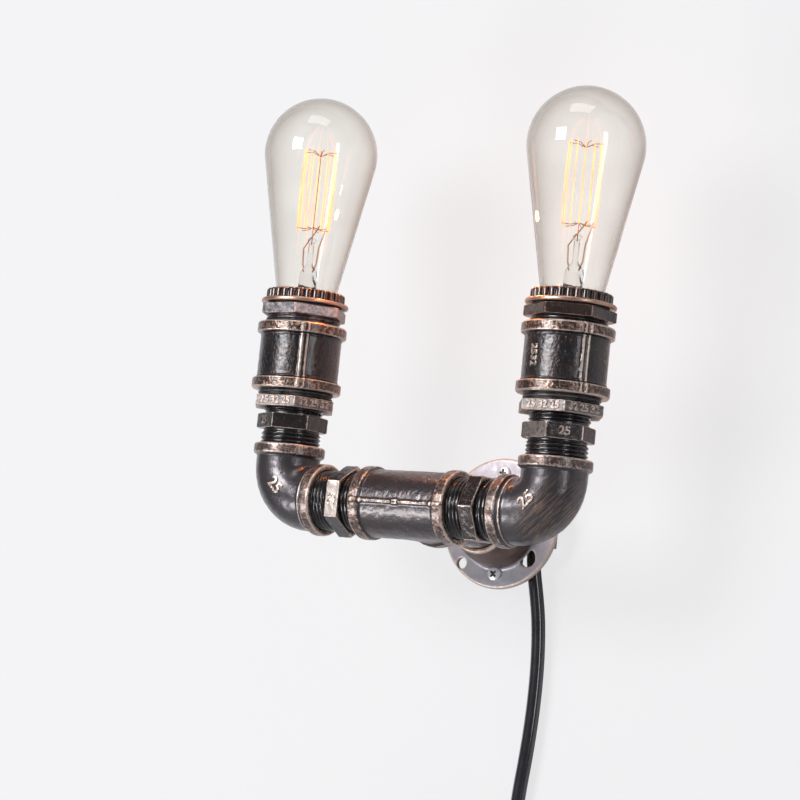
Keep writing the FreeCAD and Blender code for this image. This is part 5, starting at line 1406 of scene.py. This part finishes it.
def screw_mesh(name, head, tall, shank, deep, half):
    """A pan head with a cross recess, on a shank; seat at height 0, in millimetres."""
    columns, rings = 64, 26
    angles = np.arange(columns) * 2 * math.pi / columns
    rows = []
    for t in np.linspace(1.0, 0.0, rings):
        round_off = math.sqrt(max(1 - (max(t - ROUND_FROM, 0) / (1 - ROUND_FROM)) ** 2, 0.0))
        dome = tall * (1 - 0.28 * t ** 2) * round_off
        x, y = head * t * np.cos(angles), head * t * np.sin(angles)
        arm = np.minimum(np.abs(x), np.abs(y))
        near = 1 - ramp(head * t, head * 0.46, head * 0.6)
        inside = (1 - ramp(arm, half * 0.7, half * 1.25)) * near
        rows.append(np.stack([x, y, dome - deep * inside, inside], axis=-1))
    skirt = [np.stack([r * np.cos(angles), r * np.sin(angles), np.full(columns, z), 0 * angles], axis=-1)
             for r, z in ((0.0, -shank[1]), (shank[0] * 0.8, -shank[1]), (shank[0], -shank[1] + 0.4),
                          (shank[0], 0.0), (head * 0.97, 0.0), (head, 0.25))]
    grid = np.concatenate([np.stack(skirt), np.stack(rows)], axis=0)
    mesh = mesh_from(name, grid[:, :, :3].reshape(-1, 3) * MM, grid_faces(len(grid), columns, False))
    # the hollow mask marks the cross recess, where the finish paints shade
    store(mesh, "hollow", grid[:, :, 3].ravel())
    with edited(mesh) as form:
        weld(form)
        turn_outwards(form)
    mesh.shade_smooth()
    mesh.set_sharp_from_angle(angle=math.radians(45))
    return mesh


class PIPE_OT_screws(Operator):
    """Make the flange's cross-head machine screws"""

    bl_idname = "pipe_light.screws"
    bl_label = "Screws"

    def execute(self, context):
        light = settings(context)
        low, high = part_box("flange_screws")
        seat = low.y + 0.0025
        up = (high.z - low.z) / 2 - 0.0041
        # the finish paints shade in each screw's cross recess
        material = plain_metal("bright_zinc", light.finishes.zinc, rough=0.3, scratch=0.03, metal=0.4,
                               paint_hollow_shade=True)
        pattern = link_object("one_screw", screw_mesh("one_screw", **SCREW))
        points = mesh_from("flange_screw_heads", [(0, seat, up), (0, seat, -up)], [])
        piece = link_object("flange_screw_heads", points)
        run_tree(piece, screw_tree(), {"Screw": pattern, "Turn": 0.7, "Finish": material})
        bpy.data.objects.remove(pattern)
        attach(piece, "wall_side", "zinc_plate", "flange_screws")
        return {"FINISHED"}


def raised_digits(name, text, size, spot, along, out, carrier, lift):
    """Digits laid on a carrier's surface; spot and size are in millimetres, along and out are directions."""
    mesh = surface_of(new_curve(name, "FONT", 1, body=text, size=size * MM, align_x="CENTER",
                                align_y="CENTER", extrude=0.5 * lift * MM, bevel_depth=0.18 * MM,
                                offset=0.05 * MM, resolution_u=3))
    surface = carrier.data
    tree = BVHTree.FromPolygons([v.co for v in surface.vertices], [p.vertices for p in surface.polygons])
    across, outward = Vector(along).normalized(), Vector(out).normalized()
    above = outward.cross(across)
    start = Vector(spot) * MM
    with edited(mesh) as form:
        weld(form)
        long_edges = [edge for edge in form.edges if edge.calc_length() > 0.9 * MM]
        bmesh.ops.subdivide_edges(form, edges=long_edges, cuts=2)
        bmesh.ops.triangulate(form, faces=form.faces)
        turn_outwards(form)
        for vertex in form.verts:
            flat = start + across * vertex.co.x + above * vertex.co.y + outward * 40 * MM
            hit = tree.ray_cast(flat, -outward)[0]
            if hit is None:
                raise RuntimeError("%s misses its carrier" % name)
            vertex.co = hit + outward * (vertex.co.z + 0.1 * MM)
    return link_object(name, mesh)


class PIPE_OT_numbers(Operator):
    """Make the plain raised numbers on the fittings"""

    bl_idname = "pipe_light.numbers"
    bl_label = "Raised numbers"

    def execute(self, context):
        light = settings(context)
        reach = -light.fittings.run_reach / MM
        arm = light.fittings.arm_offset / MM
        pieces = bpy.data.objects
        half = math.sqrt(0.5)
        for word, side in SIDES:
            stack = Stack(word, side, light.fittings)
            spot = (side * (arm - 5.4), reach, 5.4)
            self.number(word + "_elbow_number", "25", 9.5, spot, (half, 0, side * half), (0, -1, 0),
                        pieces[word + "_elbow_casting"], 0.9, stack.body, "dark_iron")
            low, high = stack.span("riser_nipple")
            self.facet(stack, pieces[word + "_riser_piece"], "25", 6.4, (low + high) / 2,
                       TURNS[word]["riser"] + (210 if side < 0 else 270), "riser_number", "worn_iron")
            low = stack.span("lower_bushing")[0]
            for k, (angle, text) in enumerate(((270, "25 32 25"), (330, "32 25 32"))):
                self.facet(stack, pieces[word + "_lower_bushing_piece"], text, 5.4, low + BUSH_HIGH / 2,
                           TURNS[word]["lower"] + angle, "bushing_number_%d" % k, "grey_iron")
        low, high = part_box("left_run_nipple")
        spot = ((low.x + high.x) / 2 / MM, reach, 0)
        self.number("left_run_number", "25", 6.4, spot, (0, 0, 1), (0, -1, 0), pieces["left_run_piece"], 0.35,
                    "wall_side", "worn_iron")
        low, high = Stack("right", 1, light.fittings).span("coupling")
        angle = math.radians(-108)
        out = (math.cos(angle), math.sin(angle), 0)
        self.number("right_coupling_number", "2532", 6.0, (arm, reach, (low + high) / 2), (0, 0, -1), out,
                    pieces["right_coupling_piece"], 0.6, "right_arm", "dark_iron")
        return {"FINISHED"}

    def facet(self, stack, carrier, text, size, up, angle, name, slot):
        """Digits in the middle of one flat of a hexagon."""
        turn = math.radians(angle)
        out = (math.cos(turn), math.sin(turn), 0)
        along = (-math.sin(turn), math.cos(turn), 0)
        self.number("%s_%s" % (stack.word, name), text, size, (stack.at[0], stack.at[1], up), along, out,
                    carrier, 0.35, stack.body, slot)

    def number(self, name, text, size, spot, along, out, carrier, lift, body, slot):
        """Raised digits that wear like an edge, in the finish of their carrier."""
        digits = raised_digits(name, text, size, spot, along, out, carrier, lift)
        count = len(digits.data.vertices)
        store(digits.data, "edge", np.full(count, 0.68))
        store(digits.data, "rub", np.full(count, 0.6))
        dress(digits, carrier.data.materials[0], 40.0, body, slot)


class PIPE_OT_finish_packed(Operator):
    """Give the pieces that keep their packed form their finishes"""

    bl_idname = "pipe_light.finish_packed"
    bl_label = "Packed pieces"

    def execute(self, context):
        finishes = settings(context).finishes
        zinc = plain_metal("zinc_strip", finishes.zinc, rough=0.34)
        brass = plain_metal("bright_brass", finishes.brass, rough=0.26, scratch=0.03)
        solder = plain_metal("solder_tip", (0.6, 0.6, 0.6), rough=0.36, scratch=0.02)
        plan = {
            "wall_bracket": zinc, "cord_saddle": zinc, "saddle_screws": zinc, "earth_screw": brass,
            "plug_blades": brass, "plug_earth_pin": brass,
            "plug_body": moulded("plug_moulding", finishes.cord, rough=0.34, grain=900.0, depth=0.00005,
                                 coat=0.2),
            "cord_tie": self.woven(),
            "wire_connectors": moulded("connector_nylon", (0.75, 0.74, 0.70), rough=0.4),
            "earth_wire": moulded("earth_insulation", (0.12, 0.32, 0.05), rough=0.35),
            "run_wires": moulded("core_insulation", (0.03, 0.03, 0.035), rough=0.35),
        }
        plan["supply_wires"] = plan["run_wires"]
        rubber = moulded("gasket_rubber", (0.015, 0.015, 0.015), rough=0.6)
        phenolic = moulded("lampholder_phenolic", (0.03, 0.024, 0.02), rough=0.42, grain=900.0,
                           depth=0.00005)
        glaze = moulded("cap_glaze", (0.02, 0.02, 0.03), rough=0.12, grain=300.0, depth=0.00001, coat=0.8)
        for word, _ in SIDES:
            plan[word + "_gasket"] = rubber
            plan[word + "_lampholder_body"] = phenolic
            plan[word + "_cap_insulator"] = glaze
            plan[word + "_tip_contact"] = solder
            plan[word + "_arm_wires"] = plan["run_wires"]
            for name in ("screw_shell", "centre_contact", "terminal_screws", "bulb_cap"):
                plan["%s_%s" % (word, name)] = brass
        for name, material in plan.items():
            node = frame["nodes"][name]
            node.data.materials.clear()
            node.data.materials.append(material)
        return {"FINISHED"}

    def woven(self):
        """Black hook-and-loop band."""
        material, tree, shader = new_material("woven_band", Roughness=0.9, Sheen_Weight=0.4)
        point = object_point(tree)
        rows, cross = (add(tree, "ShaderNodeTexWave", {"bands_direction": axis},
                           {"Vector": point, "Scale": 420.0}).outputs["Fac"] for axis in "XZ")
        weave = times(tree, rows, cross)
        tone = blend_colour(tree, weave, (0.012, 0.012, 0.014, 1), (0.05, 0.05, 0.055, 1))
        set_inputs(shader, {"Base Color": tone, "Normal": bump(tree, weave, 0.0002)})
        return material


OPERATORS = (
    PIPE_OT_stage, PIPE_OT_cord, PIPE_OT_flange, PIPE_OT_tee, PIPE_OT_elbows, PIPE_OT_nipples,
    PIPE_OT_bushings, PIPE_OT_couplings, PIPE_OT_rings, PIPE_OT_bulbs, PIPE_OT_filaments, PIPE_OT_screws,
    PIPE_OT_numbers, PIPE_OT_finish_packed,
)


class PipeLight(PropertyGroup):
    """Everything a user may change."""

    fittings: PointerProperty(type=FittingSizes, name="Fittings", description="Sizes of the fittings")
    bulb: PointerProperty(type=BulbSizes, name="Bulbs", description="Sizes of the bulbs")
    cord: PointerProperty(type=CordSizes, name="Cord", description="Sizes of the cord")
    finishes: PointerProperty(type=Finishes, name="Finishes", description="Colours")
    stage: PointerProperty(type=StageSettings, name="Stage", description="Camera, lamps and backdrop")


class PIPE_PT_panel(Panel):
    """Lists the makers in the order they run"""

    bl_idname = "PIPE_PT_panel"
    bl_label = "Pipe Wall Light"
    bl_space_type = "VIEW_3D"
    bl_region_type = "UI"
    bl_category = "Pipe Light"

    def draw(self, context):
        for maker in OPERATORS:
            self.layout.operator(maker.bl_idname)


CLASSES = (FittingSizes, BulbSizes, CordSizes, Finishes, StageSettings, PipeLight, *OPERATORS, PIPE_PT_panel)


def register():
    for item in CLASSES:
        bpy.utils.register_class(item)
    bpy.types.Scene.pipe_light = PointerProperty(type=PipeLight)


def unregister():
    del bpy.types.Scene.pipe_light
    for item in reversed(CLASSES):
        bpy.utils.unregister_class(item)


def main():
    register()
    for maker in OPERATORS:
        group, name = maker.bl_idname.split(".")
        getattr(getattr(bpy.ops, group), name)()
    bpy.context.view_layer.update()


if __name__ == "__main__":
    main()
